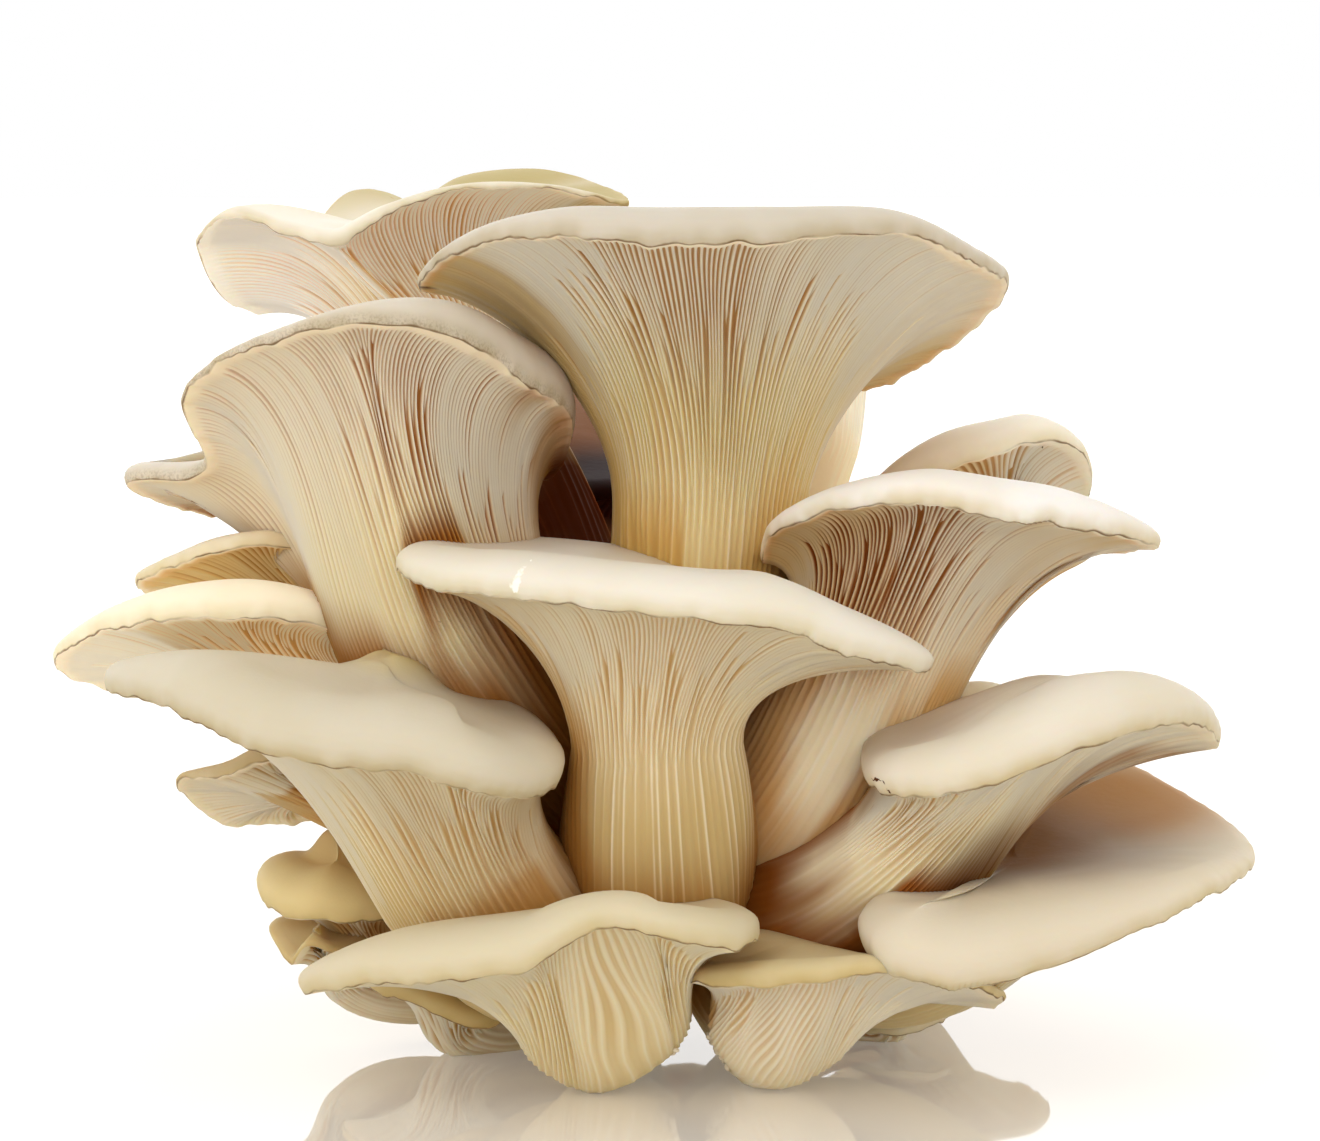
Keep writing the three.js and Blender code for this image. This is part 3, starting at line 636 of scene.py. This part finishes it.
top = mushroom(
    "top",
    rim=[
        (-33, -12, 108, 2), (-25.5, -33, 114.6, 3.4), (-13.8, -44, 116.6, 5), (0, -46, 115.6, 6.4),
        (16, -44, 116, 5.8), (32, -36, 116.6, 4), (42.5, -22, 112, 3.4), (48, -5, 107.5, 2.4),
        (40, 18, 97, 2.4), (27.5, 30, 90.5, 3), (6, 34, 95, 3), (-20, 22, 104.5, 2),
    ],
    stem=[(4, 6, 34.5, 8.5), (5, 0, 56, 12), (6.2, -2, 76, 13.5)],
    crown=(5.5, -2, 114),
    reach=0.26,
    # Painted shade at the left tip of the margin, tucked in beside the left mushroom.
    deep_shades=[(-32, -13, 108.4, 2.4, 0.9)],
    seed=2,
)
settle(
    top, top=(212, 204, 190), edge=(182, 168, 134), gills=(242, 230, 206),
    grooves=(184, 138, 84), hollow=(232, 202, 154), stem=(232, 216, 166),
)

# ---------------- The left mushroom
# A fan that leans out to the upper left, its rolled margin thick on the right and thin on the
# left. It is one piece of flesh, and dark threads speckle the edge of its skin.

left = mushroom(
    "left",
    rim=[
        (-64.9, -20, 93, 1.2), (-59.3, -30, 98.8, 1.7), (-48.8, -39, 103.2, 2.6),
        (-38.7, -42, 105, 4.2), (-27.2, -36, 102.8, 7.3), (-18, -23, 95.6, 11.2),
        (-12.4, -11, 90.5, 10), (-12.6, -3, 85.5, 5), (-15.5, 4, 80.5, 2.4), (-22, 12, 80, 1.6),
        (-34, 18, 82, 1.6), (-47.5, 22, 79, 1.6), (-58.5, 23, 73.5, 1.6), (-67, 17, 74.5, 2),
        (-75, 5, 79.5, 3.4), (-63, -7, 82.5, 2.8),
    ],
    stem=[(-8.5, 6, 30.5, 9), (-17.5, 0, 42, 13), (-28.5, -6, 58, 16)],
    crown=(-38, -8, 96),
    reach=0.3,
    bold=-42,
    # Painted shade, dark brown, at the right end of the margin where it turns under.
    stains=[(-12.5, 2, 81, 9, 1)],
    seed=3,
)
settle(
    left, top=(222, 213, 198), edge=(176, 163, 130), gills=(240, 226, 200),
    grooves=(166, 108, 56), hollow=(176, 122, 66), stem=(238, 224, 182), stain=(112, 66, 28),
    speckle=0.3,
)

# ---------------- The upper right mushroom
# An ivory cap on a leaning stem, grown beside the top mushroom. It is one piece of flesh, with
# gills deep on its near side, painted brown with shade between them, and a small crack in its
# margin.

right_upper = mushroom(
    "right_upper",
    rim=[
        (14.1, -12, 70.3, 3), (15.5, -25, 75.5, 3.6), (22.5, -33, 79.1, 4.2), (34.2, -39, 80.8, 5),
        (47, -38, 78.4, 6), (57.5, -31, 76.5, 5.6), (68.2, -17, 72.8, 3), (63.4, -4, 70.9, 2),
        (57, 14, 68.5, 2), (41.5, 22, 73, 2), (25.5, 16, 75.5, 2), (16, 2, 73.5, 2),
    ],
    stem=[(10.5, 4, 26, 10), (19.5, -8, 37, 13.2), (26.5, -11, 50, 12.6)],
    crown=(38, -8, 79),
    reach=0.45,
    bold=-105,
    ribs=0.45,
    seed=4,
)
settle(
    right_upper, top=(248, 244, 240), gills=(242, 230, 206), grooves=(164, 106, 56),
    hollow=(228, 192, 146), stem=(244, 230, 198),
    tears=[((64.2, -26, 79.5), (64.9, -25, 75.5), 0.5, WHITE_FLESH)],
)

# ---------------- The middle right mushroom
# A thick domed cap that leans out to the right over the lowest right one. It is one piece of
# flesh, and its faint ribs run down into the hollow between the stems.

right_middle = mushroom(
    "right_middle",
    rim=[
        (27.6, -34, 43.5, 4), (30.3, -46, 42.8, 6.2), (38.2, -52, 43.6, 7.6), (48.4, -53, 47, 8),
        (58.7, -50, 50.5, 8), (69.7, -40, 51.5, 7.2), (76, -24, 47.2, 6), (75.9, -14, 44.5, 4),
        (67.8, -4, 45, 3), (55, 4, 46, 3), (42, 2, 47, 3), (30.5, -14, 45.5, 4),
    ],
    stem=[(8.5, 2, 21, 9), (19.5, -13, 21, 10), (32.5, -25, 30, 10)],
    crown=(54, -24, 56.5),
    depth=0.7,
    # Painted shade on the stem, deep under the cap.
    deep_shades=[(43, -30, 31, 11, 0.55)],
    ribs=0.4,
    seed=5,
)
settle(
    right_middle, top=(230, 222, 206), hollow=(158, 100, 48),
    # Two ragged lines of painted shade in a crease at the margin's left end.
    tears=[
        ((28.1, -42, 44.4), (29.4, -45.5, 44.8), 0.22, DEEP_SHADE_BROWN),
        ((29.4, -45.5, 44.8), (30.8, -46.8, 43), 0.22, DEEP_SHADE_BROWN),
    ],
)

# ---------------- The lower right mushroom
# A wide flat cap, with a brown shadow painted where it lies under the one above. It is one
# piece of flesh on a short stem that starts low on the butt.

right_low = mushroom(
    "right_low",
    rim=[
        (27, -41, 22.5, 5), (30.5, -50, 19.5, 7.5), (39.5, -53, 18, 8), (51.5, -51, 20.5, 7),
        (64, -45, 24.5, 5), (75, -33, 27.5, 3.6), (82, -14, 29, 2.6), (76.5, 6, 33, 2),
        (61, 24, 38, 2), (47.5, 22, 36, 2), (42.5, 4, 27.5, 2), (33, -20, 26, 3),
    ],
    stem=[(14, 6, 16, 8), (28, -4, 12, 8), (41.5, -14, 16.5, 8)],
    crown=(49, -14, 29.5),
    # Painted shadow: brown on the top, where the cap above shades it.
    stains=[(46, -8, 33, 24, 1), (64, 4, 35, 24, 0.9)],
    seed=6,
)
settle(right_low, top=(224, 213, 191), hollow=(120, 66, 26), stain=(176, 122, 58))

# ---------------- The bottom left mushroom
# A low cap with a wavy margin that lifts in the middle. It is one piece of flesh, and the
# cluster rests on the end of its short stem.

bottom_left = mushroom(
    "bottom_left",
    rim=[
        (-48.5, -30, 13.5, 4), (-40, -45, 17, 6), (-27.5, -54, 19.2, 6.5), (-17, -59, 21.8, 6.2),
        (-7, -58, 27, 4.2), (2, -58, 25.2, 5), (10.5, -52, 23.2, 6), (13, -40, 23.5, 4),
        (6, -26, 24.5, 2), (-10, -18, 23, 2), (-30, -18, 19, 2), (-44, -23, 15.5, 3),
    ],
    stem=[(-3, -2, 11, 7), (-6.5, -17, 8, 8), (-8, -29, 11.1, 12)],
    crown=(-12, -37, 27),
    reach=0.4,
    depth=0.7,
    seed=7,
)
settle(
    bottom_left, top=(218, 207, 178), edge=(204, 187, 136), gills=(232, 218, 184),
    grooves=(210, 182, 126),
)

# ---------------- The bottom right mushroom
# A small low cap, yellower than the others, with a thin margin. It is one piece of flesh that
# stands close beside the bottom left one.

bottom_right = mushroom(
    "bottom_right",
    rim=[
        (3.5, -38, 16.5, 3), (9.5, -46, 17, 3.6), (18.5, -49, 17.8, 3.6), (28, -50, 19.5, 2.4),
        (38, -45, 17.5, 2), (46.5, -30, 12.5, 1.6), (45, -18, 9.5, 1.6), (36, -11, 10.5, 1.6),
        (23, -14, 16, 2), (10, -22, 19, 2), (4, -30, 18, 2),
    ],
    stem=[(9, -2, 11, 6.5), (13.3, -17, 7.2, 7.3), (16.2, -28.5, 9.8, 10.2)],
    crown=(20, -31, 20),
    reach=0.4,
    depth=0.7,
    seed=8,
)
settle(
    bottom_right, top=(216, 200, 158), edge=(192, 170, 112),
    grooves=(216, 186, 136),
)

# ---------------- The lower left mushroom
# A long thick cap that leans out to the left, with a small olive knob of young flesh on its
# back. It is one piece of flesh with a ribbed stem.

left_low = mushroom(
    "left_low",
    rim=[
        (-76, -18, 53.5, 5), (-66.5, -34, 53, 7.5), (-55.5, -46, 49.5, 8), (-44.5, -52, 47.5, 8),
        (-34, -54, 47, 8), (-25, -54, 44.5, 8), (-17.5, -47, 42.5, 7.4), (-13.5, -36, 43.5, 6),
        (-17.5, -20, 47.5, 4), (-29, -6, 51, 3), (-36, 0, 55, 2.5), (-42, -2, 51.5, 2.5),
        (-57.5, -4, 52.5, 3), (-70.5, -8, 54, 4),
    ],
    stem=[(-3, 4, 18.5, 9), (-15.5, -14, 17.5, 12), (-26, -24, 29, 13)],
    crown=(-38, -25, 56.5),
    reach=0.35,
    depth=0.7,
    stains=[(-35.5, -22, 58, 9, 1)],
    knobs=[(-35.5, -22, 56.5, 8, 2.6)],
    seed=9,
)
settle(
    left_low, top=(214, 205, 184), edge=(188, 172, 126), gills=(228, 212, 180),
    stem=(208, 184, 132), stain=(204, 188, 140),
)

# ---------------- The middle left mushroom
# A thin cap behind the lower left one, which lets some light through, painted as a glow that the
# flesh gives off itself. It is one piece of flesh on a slim stem.

left_middle = mushroom(
    "left_middle",
    rim=[
        (-85, 2, 55, 2.6), (-78, -10, 60, 4.4), (-68.5, -18, 62.8, 6), (-56, -20, 63.4, 7),
        (-45.5, -14, 61.4, 6.4), (-38.5, 0, 56.5, 4), (-46, 18, 50, 2), (-62.5, 26, 47, 2),
        (-75, 22, 47.5, 2), (-83.5, 12, 51, 2),
    ],
    stem=[(-8.5, 10, 27, 7), (-25, 8, 36, 7.5), (-41, 4, 46, 8)],
    crown=(-60.5, 4, 62),
    seed=10,
)
settle(
    left_middle, top=(234, 224, 200), edge=(206, 192, 150), hollow=(255, 242, 218),
    glow=0.24,
)

# ---------------- The back left mushroom
# A small thin cap between the two larger ones on the left. It is one piece of flesh, and the light
# that comes through it is painted as a faint glow of its own.

left_back = mushroom(
    "left_back",
    rim=[
        (-74.5, 14, 64.5, 2), (-69.5, 5, 67.5, 2.6), (-62, -1, 70.5, 3), (-53, -2, 71.5, 3),
        (-44.5, 6, 69, 3), (-41.5, 20, 61.5, 2), (-52.5, 34, 58.5, 2), (-65.5, 34, 58, 2),
        (-72.5, 24, 61, 2),
    ],
    stem=[(-8.5, 14, 30.5, 6.5), (-27, 17, 45, 6.5), (-43, 17, 56, 7)],
    crown=(-57, 16, 68),
    spacing=1.2,
    seed=11,
)
settle(left_back, hollow=(240, 216, 172), glow=0.08)

# ---------------- The small left mushroom
# A small cap that hangs under the lower left one, with its margin curled up. It is one piece of
# flesh on a slim stem.

left_small = mushroom(
    "left_small",
    rim=[
        (-68, 4, 37.5, 1.2), (-61, -5, 39.5, 3), (-54.5, -8, 42, 4), (-47.5, -4, 41, 3),
        (-44.5, 8, 35, 1), (-48.5, 15, 30.5, 1), (-55.5, 19, 29, 1), (-62.5, 17, 29.5, 1),
        (-67, 12, 33.5, 1),
    ],
    stem=[(-8.5, 8, 23, 6), (-28, 4, 28, 5), (-43, 3, 34, 4.6)],
    crown=(-56, 6, 41),
    spacing=1.1,
    seed=12,
)
settle(left_small, top=(206, 190, 158), edge=(186, 166, 118))

# ---------------- The domed left mushroom
# A young cap, still a dome, of dense olive-yellow flesh. It is one piece, grown low on the left
# from a short bent stem.

left_pale = mushroom(
    "left_pale",
    rim=[
        (-56.5, 2, 21.5, 5.5), (-53, -6, 20, 6.5), (-47.5, -10, 20, 7), (-40.5, -9, 19.5, 6.5),
        (-32.5, 0, 20.5, 4), (-33, 12, 21.5, 4), (-42, 20, 21, 4), (-52, 18, 21, 4.5),
        (-56, 11, 22, 5),
    ],
    stem=[(-8.5, 8, 16, 5.5), (-28, 8, 9, 5), (-40, 6, 13, 5)],
    crown=(-46, 4, 31.5),
    spacing=1.1,
    seed=13,
)
# A faint glow of painted light lifts its shade.
settle(left_pale, top=(222, 202, 150), edge=(200, 178, 122), glow=0.05)

# ---------------- The folded left mushroom
# A stunted cap, crumpled against the domed one. It is one piece of thin flesh on a slim stem
# that runs low over the ground into the butt.

left_folded = mushroom(
    "left_folded",
    rim=[
        (-55, 2, 16.5, 1.4), (-53, -3, 14, 1.6), (-51.5, -5, 13, 1.6), (-49, -8, 16, 1.6),
        (-45, -6, 14.5, 1.6), (-41, 2, 15, 1.6), (-44, 10, 16, 1.6), (-51.5, 10, 16.5, 1.6),
    ],
    stem=[(-8.5, 9, 13, 4.5), (-31, 7, 6.5, 4), (-44, 3, 9, 3.6)],
    crown=(-48, 2, 17.5),
    spacing=1.1,
    seed=14,
)
settle(left_folded, line=(150, 116, 74), top=(214, 196, 152), edge=(190, 166, 112))

# ---------------- The bottom back mushroom
# A small cap behind the bottom left one, close to the ground. It is one piece of flesh, and the
# cluster rests on its stem too.

bottom_back = mushroom(
    "bottom_back",
    rim=[
        (-44.5, -4, 10, 2), (-40, -14, 11, 3), (-33, -20, 9.5, 3.4), (-25.5, -22, 7, 3.4),
        (-19, -16, 8, 3), (-16, -6, 11, 2), (-21, 3, 12, 1.6), (-32, 7, 12, 1.6),
        (-41, 4, 11, 1.6),
    ],
    stem=[(-6, 8, 9.5, 5), (-19, 3, 3, 4.6), (-28, -4, 4.4, 5)],
    crown=(-29, -8, 14),
    spacing=1.2,
    seed=15,
)
settle(bottom_back, top=(204, 184, 134), edge=(180, 156, 100))

# ---------------- The back top mushroom
# A dished cap behind the left one, with a thin wavy margin and a back wall painted olive with
# shade. It is one piece of thin flesh on a stem that stays in the dark between its neighbours,
# painted dark brown as shade there; a faint glow of painted light lifts the flesh.

top_back = mushroom(
    "top_back",
    rim=[
        (-66.3, 26, 111.5, 1), (-65, 18, 113.9, 1), (-60, 9, 117, 1.4), (-52, 5.5, 114.5, 2),
        (-45, 4.5, 113.2, 2.4), (-37, 8.5, 118, 1.2), (-27, 14, 120.6, 1), (-15, 22, 120.2, 1),
        (-5, 34, 117.6, 1), (-8, 50, 119, 1), (-18, 63, 121, 1), (-30, 68, 119.5, 1),
        (-38, 65, 115.5, 1), (-46.5, 58, 117.6, 1), (-54.8, 49, 107, 1), (-58, 42, 101.5, 1),
        (-63.6, 34, 104.3, 1),
    ],
    stem=[(-6, 16, 36.5, 8), (-14, 25, 66, 8), (-26, 33, 86, 10)],
    crown=(-37, 36, 114.5),
    bold=-60,
    stains=[(-40, 60, 115, 18, 0.9), (-22, 62, 120, 26, 1), (-8, 42, 118, 20, 1)],
    deep_shades=[(-13, 23, 74, 20, 1)],
    seed=16,
)
settle(
    top_back, top=(230, 223, 208), edge=(196, 184, 150), stain=(176, 160, 108),
    gills=(250, 242, 230), grooves=(204, 158, 100), hollow=(252, 242, 222), glow=0.14,
)

# ---------------- The back right mushroom
# A domed cap that looks over the upper right one. It is one piece of flesh, and its slim stem
# leans back from the butt.

right_back = mushroom(
    "right_back",
    rim=[
        (28, 26, 70.5, 5), (32.5, 20, 75.5, 6.5), (40.5, 17, 80.4, 6.8), (49, 16, 83.2, 6.2),
        (55.4, 18, 84.6, 5.4), (60.8, 25, 82.2, 3.8), (63, 37, 75.5, 2), (59.5, 52, 71, 2),
        (49.5, 58, 69, 2), (38, 50, 69, 2.4), (31.5, 38, 69.5, 3),
    ],
    stem=[(14.5, 14, 30.5, 6.5), (31.5, 25, 46, 6.5), (45, 36, 62, 7)],
    crown=(48.5, 36, 84),
    spacing=1.2,
    seed=17,
)
settle(
    right_back, top=(246, 238, 222), edge=(220, 208, 170), gills=(248, 238, 216),
    grooves=(206, 166, 112), hollow=(238, 212, 170),
)

# ---------------- The rear top mushroom
# A cap behind the top one, of which the front shows only the pale stem. It is one piece of
# flesh, grown out of the back of the butt.

back_top = mushroom(
    "back_top",
    rim=[
        (-1.5, 50, 103, 2), (7.5, 40, 101.5, 2.6), (19, 37, 101, 3), (31, 41, 100, 3),
        (41, 52, 100, 2.6), (38, 70, 103.5, 2), (24.5, 78, 105.5, 2), (7.5, 70, 105, 2),
    ],
    stem=[(5.5, 14, 33.5, 7.5), (13, 30, 58, 8), (20.5, 38, 83, 8.6)],
    crown=(21, 56, 104),
    spacing=1.3,
    seed=18,
)
# A glow of painted light brightens the stem seen in the gap.
settle(
    back_top, stem=(250, 244, 226), grooves=(216, 184, 136), hollow=(250, 238, 212),
    glow=0.22,
)

# ---------------- The rear right-hand mushroom
# A small cap behind the middle right one, which shows as a low edge above it. It is one piece
# of flesh on a stem that leans out to the right.

back_right = mushroom(
    "back_right",
    rim=[
        (32, 28, 44, 2), (42, 24, 46, 3), (50.5, 32, 45.5, 3), (53.5, 46, 40.5, 2),
        (48.5, 64, 35.5, 2), (36.5, 68, 34, 2), (28.5, 54, 37.5, 2), (28, 38, 41.5, 2),
    ],
    stem=[(11.5, 12, 25, 7), (27, 25, 26, 7), (38, 38, 31, 7)],
    crown=(41.5, 44, 46.5),
    spacing=1.3,
    seed=19,
)
settle(back_right)

# ---------------- The tiny mushroom
# The smallest cap, close to the ground at the right. It is one piece of flesh on a stem as thin
# as a straw, which the cluster rests on.

tiny_right = mushroom(
    "tiny_right",
    rim=[
        (28, 2, 2.6, 1.2), (33, -3, 2.4, 2), (38.5, 0, 3, 2), (41, 8, 4, 1.4), (36, 15, 5, 1.2),
        (29, 12, 4.4, 1.2),
    ],
    stem=[(5, 9, 13, 3), (24.5, 8, 1, 2.2), (33, 6, 1, 2)],
    crown=(34.5, 6, 6.5),
    seed=20,
)
settle(tiny_right)

# ---------------- The rear left mushroom
# One of the six caps that close the back of the cluster. It is one piece of flesh, plain ivory,
# on a stem out of the left of the butt.

rear_left = mushroom(
    "rear_left",
    rim=[
        (-64, 46, 47, 2.6), (-58, 36, 45, 2.6), (-46, 31, 43, 2.6), (-32, 33, 42, 2.6),
        (-23, 42, 43, 2.6), (-22, 54, 46, 3), (-30, 64, 50, 4), (-43, 69, 52, 4.6),
        (-56, 65, 51, 4), (-64, 56, 49, 3),
    ],
    stem=[(-6, 14, 24, 7.5), (-20, 28, 27, 8), (-33, 43, 35, 9)],
    crown=(-43, 49, 52),
    spacing=1.8,
    seed=21,
)
settle(rear_left)

# ---------------- The rear middle mushroom
# A broad cap at the middle of the back. It is one piece of flesh, plain ivory, on a stem that
# leaves the butt almost level.

rear_middle = mushroom(
    "rear_middle",
    rim=[
        (-14, 56, 36, 3), (-8, 47, 33, 2.6), (4, 43, 32, 2.6), (16, 44, 33, 2.6), (25, 50, 36, 3),
        (27, 60, 40, 3.6), (20, 70, 43, 4.2), (8, 76, 44, 4.6), (-5, 74, 42, 4.6),
        (-13, 66, 39, 4),
    ],
    stem=[(0, 18, 22, 8), (3, 36, 17, 8), (6, 51, 24, 8.5)],
    crown=(7, 60, 43),
    spacing=1.8,
    seed=22,
)
settle(rear_middle)

# ---------------- The rear right mushroom
# A low cap at the right of the back. It is one piece of flesh, and the cluster rests on the
# lowest spot of its stem.

rear_right = mushroom(
    "rear_right",
    rim=[
        (24, 45, 14.5, 2.6), (28, 35, 16.5, 2.6), (38, 30, 18, 2.6), (48, 31, 18, 2.6),
        (56, 38, 18, 2.6), (58, 49, 17, 3), (52, 60, 16, 3.6), (40, 64, 14, 4), (29, 56, 13, 3.6),
    ],
    stem=[(8, 18, 14, 6.5), (23, 34, 4.5, 6), (35, 43, 7, 6.5)],
    crown=(41, 46, 20),
    spacing=1.8,
    seed=23,
)
settle(rear_right)

# ---------------- The rear upper mushroom
# A cap high at the back, seen from the front only in the gap between the stems, its top painted
# dark brown as the shade in that gap. It is one piece of flesh on a stem that climbs from the top
# of the butt.

rear_upper = mushroom(
    "rear_upper",
    rim=[
        (-38, 58, 77, 3), (-32, 48, 75, 2.6), (-20, 42, 74, 2.6), (-6, 41, 74, 2.6),
        (4, 46, 75, 2.6), (9, 56, 77, 3), (7, 67, 80, 4), (-3, 75, 83, 4.6), (-16, 78, 84, 4.6),
        (-29, 74, 82, 4.2), (-37, 67, 79, 3.6),
    ],
    stem=[(-3, 16, 34, 8), (-9, 33, 49, 8.5), (-12, 48, 66, 10)],
    crown=(-14, 59, 83),
    spacing=1.8,
    deep_shades=[(-9, 44, 76, 16, 1)],
    seed=24,
)
settle(rear_upper, top=(134, 88, 50), edge=(116, 74, 40), hollow=(186, 130, 80))

# ---------------- The rear side mushroom
# A cap at the right of the back, half way up. It is one piece of flesh, plain ivory, on a stem
# that climbs steeply out of the butt.

rear_side = mushroom(
    "rear_side",
    rim=[
        (12, 64, 60, 2.6), (17, 55, 58, 2.6), (28, 52, 57, 2.6), (39, 55, 57, 2.6),
        (45, 63, 59, 2.6), (44, 73, 62, 3.4), (34, 80, 65, 4), (22, 80, 65, 4), (13, 74, 63, 3.4),
    ],
    stem=[(4, 18, 30, 7), (15, 38, 38, 7.5), (25, 54, 49, 8)],
    crown=(28, 65, 66),
    spacing=1.8,
    seed=25,
)
settle(rear_side)

# ---------------- The rear low mushroom
# A low cap at the left of the back. It is one piece of flesh, and the cluster's weight rests
# mostly on its stem.

rear_low = mushroom(
    "rear_low",
    rim=[
        (-40, 48, 14, 3), (-34, 39, 14, 2.6), (-22, 35, 15, 2.6), (-9, 36, 15, 2.6),
        (2, 41, 13, 2.6), (5, 50, 12, 3), (-1, 60, 15, 4), (-12, 66, 17, 4.6), (-26, 65, 17, 4.6),
        (-37, 58, 15, 4),
    ],
    stem=[(-4, 17, 12, 6.5), (-10, 34, 4, 6), (-16, 45, 7, 7)],
    crown=(-17, 49, 21),
    spacing=1.8,
    seed=26,
)
settle(rear_low)

# ---------------- The butt
# The lump in the middle that every stem grows out of, of dense flesh with a rough dry skin, where
# the cluster sat in its growing block. It is one with the stems, and they hide nearly all of it.

BUTT_MIDDLE, BUTT_HALF = np.array([1, 9, 25]), np.array([19, 17, 14])

lump = bmesh.new()
bmesh.ops.create_icosphere(lump, subdivisions=5, radius=1)
pits = np.random.default_rng(27)
points = np.array([vertex.co for vertex in lump.verts])
x, y, z = points.T
lumps = 0.06 * np.sin(5 * x + 1) * np.sin(6 * y) * np.cos(5 * z)
swell = 1 + lumps + 0.012 * swells(points, 0.25, pits)
points = points * swell[:, None] * BUTT_HALF + BUTT_MIDDLE + CENTRE
for vertex, point in zip(lump.verts, points):
    vertex.co = Vector(point) * MM
butt = smooth_piece("butt_lump", lump)

dry, dry_tree = new_material("butt_flesh")
dry_place = dry_tree.nodes.new("ShaderNodeTexCoord").outputs["Object"]
fuzz = noise(dry_tree, dry_place, 1.11, 4.0)
stain = noise(dry_tree, dry_place, 6.25)
pale, brown = tint(226, 208, 170), tint(176, 138, 90)
stained = mixed(dry_tree, ramp(dry_tree, stain, 0.4, 0.7), pale, brown)
dry_bump = node(dry_tree, "ShaderNodeBump", Height=fuzz, Strength=0.5, Distance=0.3 * MM)
feed(
    dry_tree, dry_tree.nodes["Principled BSDF"], Base_Color=stained, Roughness=0.85,
    Normal=dry_bump.outputs["Normal"], Subsurface_Weight=0.2,
    Subsurface_Radius=(1.0, 0.55, 0.25), Subsurface_Scale=1.5 * MM,
)
butt.data.materials.append(dry)
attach(butt, "root")
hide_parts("butt")

# ---------------- Crumbs at the feet
# White crumbs of the fungus's own threads, loose and dry, which cling to the two front feet where
# they were cut from the block. Each is a small uneven lump pressed against the flesh.

CRUMBS = 34  # at each foot
FOOT_SPOTS = ((0.5, -30, 4), (6.5, -27, 4))  # where the two feet meet the ground
FOOT_REACH = 3.2  # how far the crumbs stray from there
CRUMB_SIZES = (0.25, 0.65)

crumbs = bmesh.new()
scatter = np.random.default_rng(28)
for spot in FOOT_SPOTS:
    for _ in range(CRUMBS):
        near = np.array(spot) + scatter.normal(size=3) * FOOT_REACH * (0.5, 0.6, 0.5)
        at, outward, _, _ = solids.find_nearest(Vector(near + CENTRE) * MM)
        size = scatter.uniform(*CRUMB_SIZES) * MM
        at = at + outward * 0.3 * size
        at.z = max(at.z, size)
        made = bmesh.ops.create_icosphere(crumbs, subdivisions=2, radius=size)["verts"]
        squash = Vector(scatter.uniform(0.6, 1.1, 3))
        for vertex in made:
            vertex.co = vertex.co * squash * scatter.uniform(0.9, 1.1) + at
mycelium = smooth_piece("mycelium_crumbs", crumbs)
chalk, chalk_tree = new_material("mycelium")
chalk_place = chalk_tree.nodes.new("ShaderNodeTexCoord").outputs["Object"]
chalk_grain = noise(chalk_tree, chalk_place, 0.5)
chalk_colour = mixed(chalk_tree, chalk_grain, tint(250, 244, 230), tint(226, 208, 170))
feed(chalk_tree, chalk_tree.nodes["Principled BSDF"], Base_Color=chalk_colour, Roughness=0.9)
mycelium.data.materials.append(chalk)
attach(mycelium, "root")

# ---------------- Floor, light and camera
# A smooth white surface that mirrors the cluster faintly, even light from all round with three
# softboxes at the front, and a camera almost level with the middle of the cluster.

ROOM_GLOW = 0.95  # the light from all round
MIRROR_GLOW = 1.6  # how bright the room is in the mirroring surface
ROOM_TINT, PURE_WHITE = (1, 0.975, 0.93, 1), (1, 1, 1, 1)
FLOOR_WIDTH = 6
LIT_POINT = np.array([0, 0, 0.06])  # what the softboxes point at

bpy.ops.mesh.primitive_plane_add(size=FLOOR_WIDTH)
floor = bpy.context.object
floor.name = "floor"
paint, paint_tree = new_material("white_surface")
feed(
    paint_tree, paint_tree.nodes["Principled BSDF"], Base_Color=(0.78, 0.725, 0.64, 1),
    Roughness=0.03, Specular_IOR_Level=0.9, Emission_Color=PURE_WHITE, Emission_Strength=0.1,
)
floor.data.materials.append(paint)

world = bpy.data.worlds.new("studio")
bpy.context.scene.world = world
world.use_nodes = True
sky = world.node_tree
rays = sky.nodes.new("ShaderNodeLightPath").outputs
mirrored = maths(sky, "MULTIPLY", rays["Is Glossy Ray"], MIRROR_GLOW)
seen = maths(sky, "MAXIMUM", rays["Is Camera Ray"], mirrored)
strength = maths(sky, "MAXIMUM", seen, ROOM_GLOW)
sky_colour = mixed(sky, seen, ROOM_TINT, PURE_WHITE)
feed(sky, sky.nodes["Background"], Strength=strength, Color=sky_colour)


def softbox(name, place, size, power):
    """A square area light that points at the cluster, its power in watts."""
    light = bpy.data.lights.new(name, "AREA")
    light.size = size
    light.energy = power
    lamp = placed(name, light)
    lamp.location = place
    lamp.rotation_euler = Vector(LIT_POINT - np.array(place)).to_track_quat("-Z", "Y").to_euler()


softbox("key_light", (-0.25, -0.8, 0.8), 0.6, 1.2)
softbox("side_light", (-0.9, -0.35, 0.1), 0.5, 1.2)
softbox("front_light", (0.15, -1.1, 0.15), 0.8, 1.8)

TARGET = Vector(CENTRE + (0, 0, 67.9)) * MM  # what the camera looks at
DISTANCE = 800 * MM
ELEVATION = math.radians(6)
VIEW_WIDTH = 184.8 * MM  # how much it sees from side to side there

camera = bpy.data.cameras.new("camera")
camera.lens = camera.sensor_width * DISTANCE / VIEW_WIDTH
viewer = placed("camera", camera)
viewer.location = TARGET + DISTANCE * Vector((0, -math.cos(ELEVATION), math.sin(ELEVATION)))
viewer.rotation_euler = (math.radians(90) - ELEVATION, 0, 0)
bpy.context.scene.camera = viewer
bpy.context.scene.view_settings.view_transform = "Standard"
